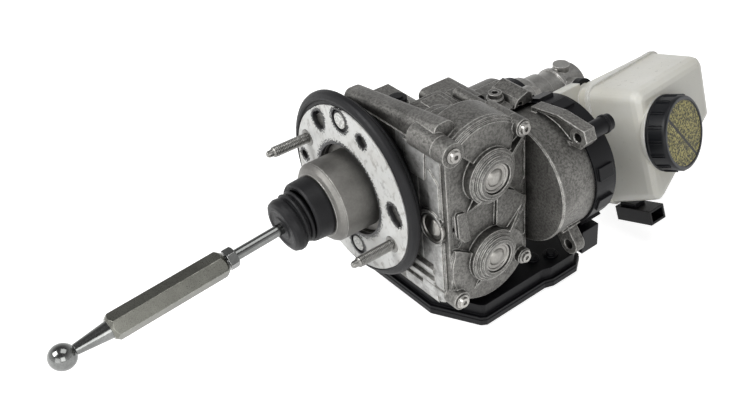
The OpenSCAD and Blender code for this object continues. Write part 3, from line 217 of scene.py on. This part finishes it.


# one table of finishes for every metal; colours are linear; dark also colours the painted shade in
# crevices, and bright colours edges as edge wear and painted highlight
metalFinishes = {
    "castAluminium": dict(base=(0.215, 0.21, 0.198), dark=(0.022, 0.021, 0.019),
                          bright=(0.60, 0.59, 0.56), rough=(0.40, 0.58), grain=560.0,
                          depth=0.00045, pit=420.0, radius=0.0013, reach=0.15, creviceShade=1.0,
                          metal=0.8, pits=0.9, fleck=0.6,
                          milled=(0.52, 0.52, 0.51),
                          machined=((0.040, 0.0848), (0.010, 0.0162), (-0.070, 0.0625))),
    "smoothAluminium": dict(base=(0.34, 0.335, 0.32), dark=(0.10, 0.095, 0.09),
                            bright=(0.66, 0.65, 0.63), rough=(0.34, 0.50), grain=600.0,
                            depth=0.00012, radius=0.0010, reach=0.2, creviceShade=0.6, metal=0.9,
                            pits=0.2),
    "plugSteel": dict(base=(0.36, 0.35, 0.33), dark=(0.10, 0.095, 0.085),
                      bright=(0.80, 0.79, 0.77), rough=(0.30, 0.44), grain=500.0, depth=0.00004,
                      radius=0.0005, reach=0.2, creviceShade=0.7, metal=1.0, pits=0.1),
    "collarSteel": dict(base=(0.205, 0.20, 0.188), dark=(0.09, 0.085, 0.08),
                        bright=(0.50, 0.49, 0.47), rough=(0.42, 0.56), grain=700.0, depth=0.00010,
                        radius=0.0008, reach=0.2, creviceShade=0.3, metal=0.95, pits=0.1),
    "polishedSteel": dict(base=(0.215, 0.22, 0.215), dark=(0.07, 0.07, 0.066),
                          bright=(0.85, 0.85, 0.85), rough=(0.10, 0.20), grain=900.0,
                          depth=0.00001, radius=0.0004, reach=0.2, creviceShade=0.2, metal=1.0,
                          pits=0.0),
    "zincSteel": dict(base=(0.175, 0.175, 0.155), dark=(0.08, 0.078, 0.068),
                      bright=(0.62, 0.62, 0.56), rough=(0.24, 0.38), grain=1500.0, depth=0.00003,
                      radius=0.0005, reach=0.2, creviceShade=0.3, metal=1.0, pits=0.1),
    "threadSteel": dict(base=(0.27, 0.265, 0.25), dark=(0.03, 0.03, 0.028),
                        bright=(0.55, 0.55, 0.53), rough=(0.30, 0.42), grain=900.0, depth=0.00003,
                        radius=0.0003, reach=0.2, creviceShade=0.9, metal=1.0, pits=0.0),
    "magnetIron": dict(base=(0.10, 0.10, 0.105), dark=(0.03, 0.03, 0.03),
                       bright=(0.30, 0.30, 0.30), rough=(0.40, 0.60), grain=700.0, depth=0.00006,
                       radius=0.0006, reach=0.2, creviceShade=0.5, metal=0.9, pits=0.2),
}


def machinedMask(tree, box):
    # faces towards the pedal that lie in a box, where the cast skin is milled off
    place = addNode(tree, "ShaderNodeTexCoord").outputs["Object"]
    cut = addNode(tree, "ShaderNodeSeparateXYZ", None, {0: place})
    facing = addNode(tree, "ShaderNodeSeparateXYZ", None,
                     {0: addNode(tree, "ShaderNodeTexCoord").outputs["Normal"]}).outputs[1]
    mask = mathNode(tree, "LESS_THAN", facing, -0.9)
    for axis, (low, high) in enumerate(box):
        for side, edge in (("GREATER_THAN", low), ("LESS_THAN", high)):
            inside = mathNode(tree, side, cut.outputs[axis], edge)
            mask = mathNode(tree, "MULTIPLY", mask, inside)
    worn = remap(tree, noiseAt(tree, place, 120.0, 5.0, 0.7), 0.36, 0.6, 0.35, 1.0)
    return mathNode(tree, "MULTIPLY", mask, worn)


def metalMaterial(name):
    f = metalFinishes[name]
    material, tree, shader = startMaterial(name, {"Metallic": f["metal"]})
    grain = useGroup(tree, surfaceGrain, {"Grain": f["grain"], "Patch": 30.0,
                                           "Pit": f.get("pit", 560.0)})
    wearAndHighlight = useGroup(tree, edgeWearAndHighlight, {"Radius": f["radius"], "Reach": f["reach"]})
    creviceShade = useGroup(tree, paintedCreviceShade, {"Distance": 0.010, "Strength": f["creviceShade"]})
    base = (*f["base"], 1)
    low = tuple(c * 0.70 for c in f["base"]) + (1,)
    high = tuple(min(1, c * 1.30) for c in f["base"]) + (1,)
    colour = mixColour(tree, grain.outputs["Tone"], low, high)
    speckle = remap(tree, grain.outputs["Relief"], 0.40, 0.60)
    flecked = mixColour(tree, f.get("fleck", 0.25), colour, (*f["dark"], 1))
    colour = mixColour(tree, speckle, flecked, colour)
    pits = mathNode(tree, "MULTIPLY", grain.outputs["Pits"], f["pits"])
    colour = mixColour(tree, pits, colour, (*f["dark"], 1))
    if "machined" in f:
        colour = mixColour(tree, machinedMask(tree, f["machined"]), colour, (*f["milled"], 1))
    # painted shade: crevices and hollows darkened towards the dark colour by ambient occlusion
    colour = mixColour(tree, creviceShade.outputs["Mask"], colour, (*f["dark"], 1))
    # edges lightened towards the bright colour: partly edge wear, partly painted highlight
    colour = mixColour(tree, wearAndHighlight.outputs["Mask"], colour, (*f["bright"], 1))
    rough = remap(tree, grain.outputs["Relief"], 0.3, 0.7, f["rough"][0], f["rough"][1])
    worn = mathNode(tree, "MULTIPLY", wearAndHighlight.outputs["Mask"], -0.12)
    rough = mathNode(tree, "ADD", rough, worn, True)
    height = mathNode(tree, "SUBTRACT", grain.outputs["Relief"],
                      mathNode(tree, "MULTIPLY", grain.outputs["Pits"], 0.5))
    finishMaterial(tree, shader, colour=colour, rough=rough, height=height, depth=f["depth"],
                   normal=wearAndHighlight.outputs["Normal"], strength=0.8)
    return material


plasticFinishes = {
    "blackRubber": dict(base=(0.006, 0.006, 0.007), worn=(0.022, 0.022, 0.023), rough=(0.40, 0.56),
                        grain=700.0, depth=0.00008, radius=0.0010),
    "blackPlastic": dict(base=(0.002, 0.002, 0.003), worn=(0.007, 0.007, 0.009),
                         rough=(0.34, 0.48), grain=1300.0, depth=0.00006, radius=0.0008),
    "capPlastic": dict(base=(0.004, 0.0045, 0.0055), worn=(0.017, 0.018, 0.022),
                       rough=(0.32, 0.44), grain=1100.0, depth=0.00005, radius=0.0007),
    "gearPolymer": dict(base=(0.60, 0.52, 0.34), worn=(0.75, 0.70, 0.55), rough=(0.35, 0.50),
                        grain=700.0, depth=0.00005, radius=0.0004),
    "boardLacquer": dict(base=(0.02, 0.10, 0.04), worn=(0.10, 0.25, 0.12), rough=(0.20, 0.35),
                         grain=500.0, depth=0.00003, radius=0.0003),
}


def plasticMaterial(name):
    f = plasticFinishes[name]
    material, tree, shader = startMaterial(name, {"Specular IOR Level": 0.22})
    grain = useGroup(tree, surfaceGrain, {"Grain": f["grain"], "Patch": 22.0, "Pit": 400.0})
    wearAndHighlight = useGroup(tree, edgeWearAndHighlight, {"Radius": f["radius"], "Reach": 0.25})
    dust = remap(tree, grain.outputs["Tone"], 0.2, 1.0, 0.0, 0.35)
    colour = mixColour(tree, dust, (*f["base"], 1), (*f["worn"], 1))
    # edges half lightened towards the worn colour: partly edge wear, partly painted highlight
    half = mathNode(tree, "MULTIPLY", wearAndHighlight.outputs["Mask"], 0.5)
    colour = mixColour(tree, half, colour, (*f["worn"], 1))
    rough = remap(tree, grain.outputs["Relief"], 0.3, 0.7, f["rough"][0], f["rough"][1])
    finishMaterial(tree, shader, colour=colour, rough=rough, height=grain.outputs["Relief"],
                   depth=f["depth"], normal=wearAndHighlight.outputs["Normal"], strength=0.7)
    return material


# holes of the flange plate as (x, z, radius), where the white coat is broken away
plateSizes = {
    "rims": ((0, 0, 0.0364), (-0.0013, 0.0563, 0.0090), (0.0028, -0.0465, 0.0088),
             (-0.0287, 0.0452, 0.0072), (-0.0264, 0.0490, 0.0056), (0.0228, 0.0505, 0.0052),
             (-0.0545, 0.0047, 0.0046), (0.0519, 0.0076, 0.0064), (0.0546, 0.0036, 0.0060)),
    "reach": 0.0026,
    "scuff": (0.30, 0.29, 0.28),
}


def paintMaterial():
    material, tree, shader = startMaterial("whitePaint")
    place = addNode(tree, "ShaderNodeTexCoord").outputs["Object"]
    cut = addNode(tree, "ShaderNodeSeparateXYZ", None, {0: place})
    jag = noiseAt(tree, place, 700.0, 3.0, 0.7)
    reach = mathNode(tree, "MULTIPLY", remap(tree, jag, 0.35, 0.7, -0.2, 1.6), plateSizes["reach"])
    broken = None
    for x, z, radius in plateSizes["rims"]:
        dx = mathNode(tree, "SUBTRACT", cut.outputs[0], x)
        dz = mathNode(tree, "SUBTRACT", cut.outputs[2], z)
        away = mathNode(tree, "SQRT", mathNode(tree, "ADD", mathNode(tree, "MULTIPLY", dx, dx),
                                               mathNode(tree, "MULTIPLY", dz, dz)))
        share = 1.15 if radius > 0.02 else 0.9
        limit = mathNode(tree, "ADD", mathNode(tree, "MULTIPLY", reach, share), radius)
        inside = mathNode(tree, "LESS_THAN", away, limit)
        broken = inside if broken is None else mathNode(tree, "MAXIMUM", broken, inside)
    grain = useGroup(tree, surfaceGrain, {"Grain": 420.0, "Patch": 60.0, "Pit": 300.0})
    wearAndHighlight = useGroup(tree, edgeWearAndHighlight, {"Radius": 0.0008, "Reach": 0.3})
    scratch = noiseAt(tree, addNode(tree, "ShaderNodeMapping", None,
                                    {"Vector": place, "Scale": (1, 1, 0.7),
                                     "Rotation": (0, 0.6, 0)}).outputs[0], 190.0, 8.0, 0.72)
    spots = noiseAt(tree, place, 70.0, 3.0, 0.6)
    scuffed = mathNode(tree, "MULTIPLY", remap(tree, scratch, 0.51, 0.60, 0.0, 0.85),
                       remap(tree, spots, 0.36, 0.58))
    colour = mixColour(tree, scuffed, (0.62, 0.628, 0.618, 1), (*plateSizes["scuff"], 1))
    colour = mixColour(tree, mathNode(tree, "MULTIPLY", grain.outputs["Tone"], 0.30), colour,
                       (0.45, 0.42, 0.36, 1))
    colour = mixColour(tree, broken, colour, (0.014, 0.014, 0.015, 1))
    rough = remap(tree, scratch, 0.3, 0.7, 0.32, 0.6)
    height = mathNode(tree, "SUBTRACT", scratch, broken)
    finishMaterial(tree, shader, colour=colour, rough=rough, height=height, depth=0.0003,
                   normal=wearAndHighlight.outputs["Normal"], strength=0.6)
    return material


def reservoirMaterial():
    material, tree, shader = startMaterial(
        "reservoirPlastic", {"Subsurface Weight": 0.35, "Subsurface Scale": 0.006,
                             "Subsurface Radius": (1.0, 0.95, 0.8), "IOR": 1.48})
    grain = useGroup(tree, surfaceGrain, {"Grain": 260.0, "Patch": 14.0, "Pit": 300.0})
    wearAndHighlight = useGroup(tree, edgeWearAndHighlight, {"Radius": 0.0020, "Reach": 0.3})
    creviceShade = useGroup(tree, paintedCreviceShade, {"Distance": 0.014, "Strength": 0.55})
    colour = mixColour(tree, grain.outputs["Tone"], (0.50, 0.49, 0.44, 1), (0.60, 0.595, 0.55, 1))
    # painted shade: crevices darkened by ambient occlusion
    colour = mixColour(tree, creviceShade.outputs["Mask"], colour, (0.40, 0.37, 0.30, 1))
    # near-white edges: painted highlight along the rounded edges
    colour = mixColour(tree, wearAndHighlight.outputs["Mask"], colour, (0.88, 0.88, 0.86, 1))
    rough = remap(tree, grain.outputs["Relief"], 0.3, 0.7, 0.26, 0.38)
    finishMaterial(tree, shader, colour=colour, rough=rough, height=grain.outputs["Relief"],
                   depth=0.00012, normal=wearAndHighlight.outputs["Normal"], strength=0.5)
    return material


materials = {name: metalMaterial(name) for name in metalFinishes}
materials.update({name: plasticMaterial(name) for name in plasticFinishes})
materials["whitePaint"] = paintMaterial()
materials["reservoirPlastic"] = reservoirMaterial()


def discMaterial():
    # speckled olive disc with one dark slanting band, and no lettering
    material, tree, shader = startMaterial("capDisc", {"Roughness": 0.42,
                                                       "Specular IOR Level": 0.3})
    place = addNode(tree, "ShaderNodeTexCoord").outputs["Object"]
    grain = useGroup(tree, surfaceGrain, {"Grain": 800.0, "Patch": 90.0, "Pit": 420.0})
    fleck = remap(tree, noiseAt(tree, place, 620.0, 5.0, 0.8), 0.485, 0.535)
    colour = mixColour(tree, grain.outputs["Tone"], (0.30, 0.265, 0.07, 1), (0.46, 0.41, 0.15, 1))
    colour = mixColour(tree, fleck, (0.022, 0.022, 0.015, 1), colour)
    cut = addNode(tree, "ShaderNodeSeparateXYZ", None, {0: place})
    across = mathNode(tree, "ADD", mathNode(tree, "MULTIPLY", cut.outputs[1], 0.80),
                      mathNode(tree, "MULTIPLY", cut.outputs[2], 0.60))
    away = mathNode(tree, "ABSOLUTE", mathNode(tree, "SUBTRACT", across, 0.178))
    band = mathNode(tree, "LESS_THAN", away, 0.0011)
    colour = mixColour(tree, band, colour, (0.02, 0.02, 0.02, 1))
    finishMaterial(tree, shader, colour=colour, height=grain.outputs["Relief"], depth=0.00005)
    return material


def rimMaterial():
    material, tree, shader = startMaterial("capRim")
    grain = useGroup(tree, surfaceGrain, {"Grain": 900.0, "Patch": 40.0, "Pit": 400.0})
    colour = mixColour(tree, grain.outputs["Tone"], (0.018, 0.019, 0.022, 1),
                       (0.045, 0.047, 0.052, 1))
    rough = remap(tree, grain.outputs["Relief"], 0.3, 0.7, 0.35, 0.5)
    finishMaterial(tree, shader, colour=colour, rough=rough, height=grain.outputs["Relief"],
                   depth=0.00004)
    return material


def plugMaterial():
    material, tree, shader = startMaterial("plugPaint")
    place = addNode(tree, "ShaderNodeTexCoord").outputs["Object"]
    grain = useGroup(tree, surfaceGrain, {"Grain": 500.0, "Patch": 120.0, "Pit": 500.0})
    creviceShade = useGroup(tree, paintedCreviceShade, {"Distance": 0.004, "Strength": 0.8})
    fleck = remap(tree, noiseAt(tree, place, 620.0, 4.0, 0.7), 0.40, 0.60)
    colour = mixColour(tree, fleck, (0.30, 0.30, 0.29, 1), (0.74, 0.74, 0.71, 1))
    # painted shade: the plug's recess darkened by ambient occlusion
    colour = mixColour(tree, creviceShade.outputs["Mask"], colour, (0.10, 0.10, 0.095, 1))
    finishMaterial(tree, shader, colour=colour, height=grain.outputs["Relief"], depth=0.00006)
    return material


materials["plugPaint"] = plugMaterial()
materials["capDisc"] = discMaterial()
materials["capRim"] = rimMaterial()

nodeFinish = {
    "castAluminium": ("gearbox_housing", "gear_cover", "motor_housing", "front_wall",
                      "front_pad"),
    "smoothAluminium": ("master_cylinder",),
    "whitePaint": ("flange_plate",),
    "plugPaint": ("plate_plugs",),
    "blackRubber": ("bulkhead_gasket", "rod_boot", "reservoir_grommets", "cap_seal"),
    "threadSteel": ("mounting_studs",),
    "collarSteel": ("guide_collar",),
    "plugSteel": ("bearing_plugs", "cover_screws", "cylinder_nuts", "shaft_bearings"),
    "polishedSteel": ("push_rod", "ball_stud", "input_plunger", "rack_carrier", "primary_piston",
                      "secondary_piston", "upper_shaft", "lower_shaft", "worm_shaft",
                      "return_spring", "primary_spring", "secondary_spring", "jam_nut"),
    "zincSteel": ("hex_sleeve",),
    "blackPlastic": ("motor_end_ring", "ring_sleeve", "motor_connector", "ecu_case", "ecu_cover",
                     "ecu_connector", "ecu_screws", "cylinder_bracket", "level_socket",
                     "vent_plug"),
    "capPlastic": ("filler_cap",),
    "reservoirPlastic": ("reservoir_lower", "reservoir_upper"),
    "magnetIron": ("rotor", "stator"),
    "gearPolymer": ("upper_wheel", "lower_wheel"),
    "boardLacquer": ("circuit_board",),
}
for finish, names in nodeFinish.items():
    for name in names:
        piece = nodes[name]
        piece.data.materials.clear()
        piece.data.materials.append(materials[finish])
print("stage: materials placed")


def startPiece():
    if bpy.context.mode != "OBJECT":
        bpy.ops.object.mode_set(mode="OBJECT")
    bpy.ops.object.select_all(action="DESELECT")


def turnedPiece(name, profile, steps=64, closeEnds=True):
    # a round piece: a circle that is extruded and resized along (radius, height) in millimetres
    startPiece()
    radius, height = profile[0]
    bpy.ops.mesh.primitive_circle_add(vertices=steps, radius=radius * mm,
                                      fill_type="NGON" if closeEnds else "NOTHING",
                                      location=(0, 0, height * mm))
    piece = bpy.context.active_object
    piece.name = name
    bpy.ops.object.transform_apply(location=True, rotation=True, scale=True)
    bpy.ops.object.mode_set(mode="EDIT")
    bpy.ops.mesh.select_mode(type="EDGE")
    bpy.ops.mesh.select_all(action="SELECT")
    if closeEnds:
        bpy.ops.mesh.region_to_loop()
    for nextRadius, nextHeight in profile[1:]:
        bpy.ops.mesh.extrude_edges_move(
            TRANSFORM_OT_translate={"value": (0, 0, (nextHeight - height) * mm)})
        if nextRadius != radius:
            share = nextRadius / radius
            bpy.ops.transform.resize(value=(share, share, 1))
        radius, height = nextRadius, nextHeight
    if closeEnds:
        bpy.ops.mesh.fill()
    bpy.ops.mesh.select_all(action="SELECT")
    bpy.ops.mesh.normals_make_consistent(inside=False)
    bpy.ops.object.mode_set(mode="OBJECT")
    return piece


def boxPiece(name, size, place, bevel=0.0):
    startPiece()
    bpy.ops.mesh.primitive_cube_add(size=1, location=[v * mm for v in place],
                                    scale=[v * mm for v in size])
    piece = bpy.context.active_object
    piece.name = name
    bpy.ops.object.transform_apply(location=True, rotation=True, scale=True)
    if bevel:
        bpy.ops.object.mode_set(mode="EDIT")
        bpy.ops.mesh.select_all(action="SELECT")
        bpy.ops.mesh.bevel(offset=bevel * mm, segments=2, affect="EDGES")
        bpy.ops.object.mode_set(mode="OBJECT")
    return piece


def joinPieces(pieces, name):
    startPiece()
    for piece in pieces:
        piece.select_set(True)
    bpy.context.view_layer.objects.active = pieces[0]
    bpy.ops.object.join()
    pieces[0].name = name
    return pieces[0]


def copyTurned(piece, angle):
    startPiece()
    piece.select_set(True)
    bpy.context.view_layer.objects.active = piece
    bpy.ops.object.duplicate(linked=False)
    twin = bpy.context.active_object
    twin.matrix_world = Matrix.Rotation(angle, 4, "Z") @ twin.matrix_world
    bpy.ops.object.transform_apply(location=True, rotation=True, scale=True)
    return twin


def placePiece(piece, origin, axis, body, finish, angle=35.0, spin=0.0):
    # the piece's own Z goes to the axis and its origin to the place in millimetres
    startPiece()
    turn = Vector(axis).to_track_quat("Z", "Y").to_matrix().to_4x4()
    piece.matrix_world = (Matrix.Translation([v * mm for v in origin]) @ turn
                          @ Matrix.Rotation(spin, 4, "Z"))
    piece.select_set(True)
    bpy.context.view_layer.objects.active = piece
    bpy.ops.object.transform_apply(location=True, rotation=True, scale=True)
    bpy.ops.object.shade_smooth_by_angle(angle=math.radians(angle))
    if not piece.data.materials:
        piece.data.materials.append(materials[finish])
    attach(piece, body)
    return piece


studSizes = {"radius": 4.0, "core": 3.36, "pitch": 1.25, "tip": 34.0, "dog": 6.0, "reach": 52.0,
             "angle": math.radians(25.8), "turns": 21, "collar": 6.4, "end": -12.8}


def makeStuds():
    s = studSizes
    profile = [(1.7, s["tip"]), (2.5, s["tip"] - 1.3), (2.7, s["tip"] - 4.4),
               (3.3, s["tip"] - 4.7), (3.9, s["tip"] - 5.6)]
    height = s["tip"] - s["dog"]
    for turn in range(s["turns"]):
        profile += [(s["core"], height - 0.35), (s["core"], height - 0.5),
                    (s["radius"] - 0.04, height - 0.95), (s["radius"] - 0.04, height - 1.12)]
        height -= s["pitch"]
    profile += [(s["radius"] - 0.1, height - 0.4), (s["radius"] - 0.1, 0.9),
                (s["collar"] - 0.4, 0.6), (s["collar"], 0.3), (s["collar"], 0.02),
                (s["radius"] + 0.35, 0.01), (s["radius"] + 0.4, 0.0),
                (s["radius"] + 0.38, s["end"])]
    for side in (-1, 1):
        stud = turnedPiece("studThread" + ("Left" if side < 0 else "Right"), profile, 40)
        x = side * s["reach"] * math.cos(s["angle"])
        z = -side * s["reach"] * math.sin(s["angle"])
        placePiece(stud, (x, 0, z), (0, -1, 0), "unit", "threadSteel", 30)
    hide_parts("mounting_studs")
    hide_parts("mounting_studs")


capSizes = {"place": (107.629, 217.7, 1.832), "axis": (0.9253225, 0.1908091, 0.3276739),
            "radius": 29.6, "high": 18.4, "pairs": 16, "disc": 25.0, "mouth": 25.9}


def makeCap():
    s = capSizes
    r, h = s["radius"], s["high"]
    body = turnedPiece("capBody", [
        (s["mouth"], 1.0), (r - 0.4, 1.0), (r - 0.1, 1.5), (r, 2.4), (r, 3.2), (r - 0.7, 3.6),
        (r - 0.8, h - 3.4), (r - 0.9, h - 2.4), (r - 1.3, h - 0.9), (r - 2.0, h - 0.25),
        (r - 2.8, h), (s["disc"] + 1.1, h),
        (s["disc"] + 0.7, h - 0.2), (s["disc"] + 0.5, h - 0.75), (s["disc"], h - 0.8),
        (s["disc"] - 0.02, h - 0.72), (1.0, h - 0.72)], 96)
    body.data.materials.append(materials["capPlastic"])
    body.data.materials.append(materials["capRim"])
    body.data.materials.append(materials["capDisc"])
    for face in body.data.polygons:
        far = math.hypot(face.center.x, face.center.y) / mm
        if face.center.z > (h - 1.0) * mm and face.normal.z > 0.5:
            face.material_index = 2 if far < s["disc"] else 1 if far < r - 2.0 else 0
    lines = []
    first = boxPiece("capRib", (1.5, 0.75, h - 7.2), (r - 0.55, 0.0, h / 2), 0.22)
    for pair in range(s["pairs"]):
        for side in (-1, 1):
            lines.append(copyTurned(first, (pair + 0.5) * 2 * math.pi / s["pairs"] + side * 0.034))
    bpy.data.objects.remove(first)
    ribs = joinPieces(lines, "capRibs")
    for piece in (body, ribs):
        placePiece(piece, s["place"], s["axis"], "cap", "capPlastic", 35)
        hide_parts("filler_cap")


plugSizes = {"places": ((-1.3, 56.3), (2.8, -46.5)), "disc": 5.9, "ring": 8.0, "floor": 0.9}


def makePlugs():
    # a pale disc with a low crown, in a dark sealing ring
    s = plugSizes
    made = []
    for count, (x, z) in enumerate(s["places"]):
        side = ("Top", "Low")[count]
        disc = turnedPiece("plugDisc" + side, [
            (0.8, 0.16), (2.2, 0.16), (2.9, 0.04), (3.4, 0.04), (s["disc"] - 0.8, 0.12),
            (s["disc"] - 0.3, 0.0), (s["disc"], -0.3), (s["disc"], -2.6)], 48)
        ring = turnedPiece("plugRing" + side, [
            (s["disc"] + 0.05, -2.4), (s["disc"] + 0.1, -s["floor"] - 0.5), (6.6, -s["floor"]),
            (7.4, -s["floor"]), (s["ring"], -1.4), (s["ring"], -2.6)], 48, False)
        placePiece(disc, (x, 0, z), (0, -1, 0), "unit", "plugPaint", 40)
        placePiece(ring, (x, 0, z), (0, -1, 0), "unit", "blackRubber", 40)
        made += [disc, ring]
    for piece in made:
        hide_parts("plate_plugs")


makeStuds()
makeCap()
makePlugs()
print("stage: studs, cap and plugs made")


floorGlow = 0.80


def makeFloor():
    bpy.ops.object.select_all(action="DESELECT")
    bpy.ops.mesh.primitive_plane_add(size=8, location=(0.05, 0.05, cadLow.z - 0.0005))
    floor = bpy.context.active_object
    floor.name = "floor"
    material = bpy.data.materials.new("floorPale")
    material.use_nodes = True
    tree = material.node_tree
    tree.nodes.clear()
    out = tree.nodes.new("ShaderNodeOutputMaterial")
    paths = addNode(tree, "ShaderNodeLightPath")
    seen = mathNode(tree, "MAXIMUM", paths.outputs["Is Camera Ray"],
                    mathNode(tree, "MAXIMUM", paths.outputs["Is Glossy Ray"],
                             paths.outputs["Is Transmission Ray"]))
    plain = addNode(tree, "ShaderNodeBsdfDiffuse", None, {"Color": (0.62, 0.62, 0.62, 1)})
    glow = addNode(tree, "ShaderNodeEmission", None,
                   {"Color": (1, 1, 1, 1),
                    "Strength": mathNode(tree, "MULTIPLY", seen, floorGlow)})
    both = addNode(tree, "ShaderNodeAddShader", None, {0: plain.outputs[0], 1: glow.outputs[0]})
    tree.links.new(both.outputs[0], out.inputs["Surface"])
    floor.data.materials.append(material)


ambientLight = 0.24


def makeWorld():
    world = bpy.data.worlds.new("studio")
    bpy.context.scene.world = world
    world.use_nodes = True
    tree = world.node_tree
    tree.nodes.clear()
    out = tree.nodes.new("ShaderNodeOutputWorld")
    paths = addNode(tree, "ShaderNodeLightPath")
    way = addNode(tree, "ShaderNodeTexCoord").outputs["Generated"]
    cut = addNode(tree, "ShaderNodeSeparateXYZ", None, {0: way})
    # a pale wall that darkens overhead, so that bright metal shows a dark band
    band = remap(tree, cut.outputs[2], 0.15, 0.75, 1.0, 0.18)
    seen = mathNode(tree, "MAXIMUM", paths.outputs["Is Camera Ray"],
                    paths.outputs["Is Transmission Ray"])
    glossy = paths.outputs["Is Glossy Ray"]
    strength = addNode(tree, "ShaderNodeMix", {"data_type": "FLOAT"},
                       {0: glossy, 2: ambientLight, 3: band}).outputs[0]
    strength = addNode(tree, "ShaderNodeMix", {"data_type": "FLOAT"},
                       {0: seen, 2: strength, 3: 1.0}).outputs[0]
    back = addNode(tree, "ShaderNodeBackground", None,
                   {"Color": (1, 1, 1, 1), "Strength": strength})
    tree.links.new(back.outputs[0], out.inputs["Surface"])


lampSizes = {
    "keySoftbox": dict(place=(-0.35, -1.25, 1.35), aim=(0.05, 0.02, -0.02), size=0.9, power=27.0),
    "topSoftbox": dict(place=(0.25, 0.35, 1.6), aim=(0.05, 0.05, 0), size=1.1, power=8.5),
    "rightFill": dict(place=(1.5, -0.55, 0.55), aim=(0.08, 0.08, 0), size=0.9, power=8.0),
    "frontFill": dict(place=(0.9, -1.5, 0.35), aim=(0.07, 0.03, 0), size=1.1, power=6.0),
}


def makeLamps():
    for name, s in lampSizes.items():
        data = bpy.data.lights.new(name, "AREA")
        data.shape = "SQUARE"
        data.size = s["size"]
        data.energy = s["power"]
        lamp = bpy.data.objects.new(name, data)
        bpy.context.scene.collection.objects.link(lamp)
        lamp.location = s["place"]
        aim = Vector(s["aim"]) - Vector(s["place"])
        lamp.rotation_mode = "QUATERNION"
        lamp.rotation_quaternion = aim.to_track_quat("-Z", "Y")


makeFloor()
makeWorld()
makeLamps()
bpy.context.scene.view_settings.view_transform = "Standard"
print("stage: floor, world and lamps made")
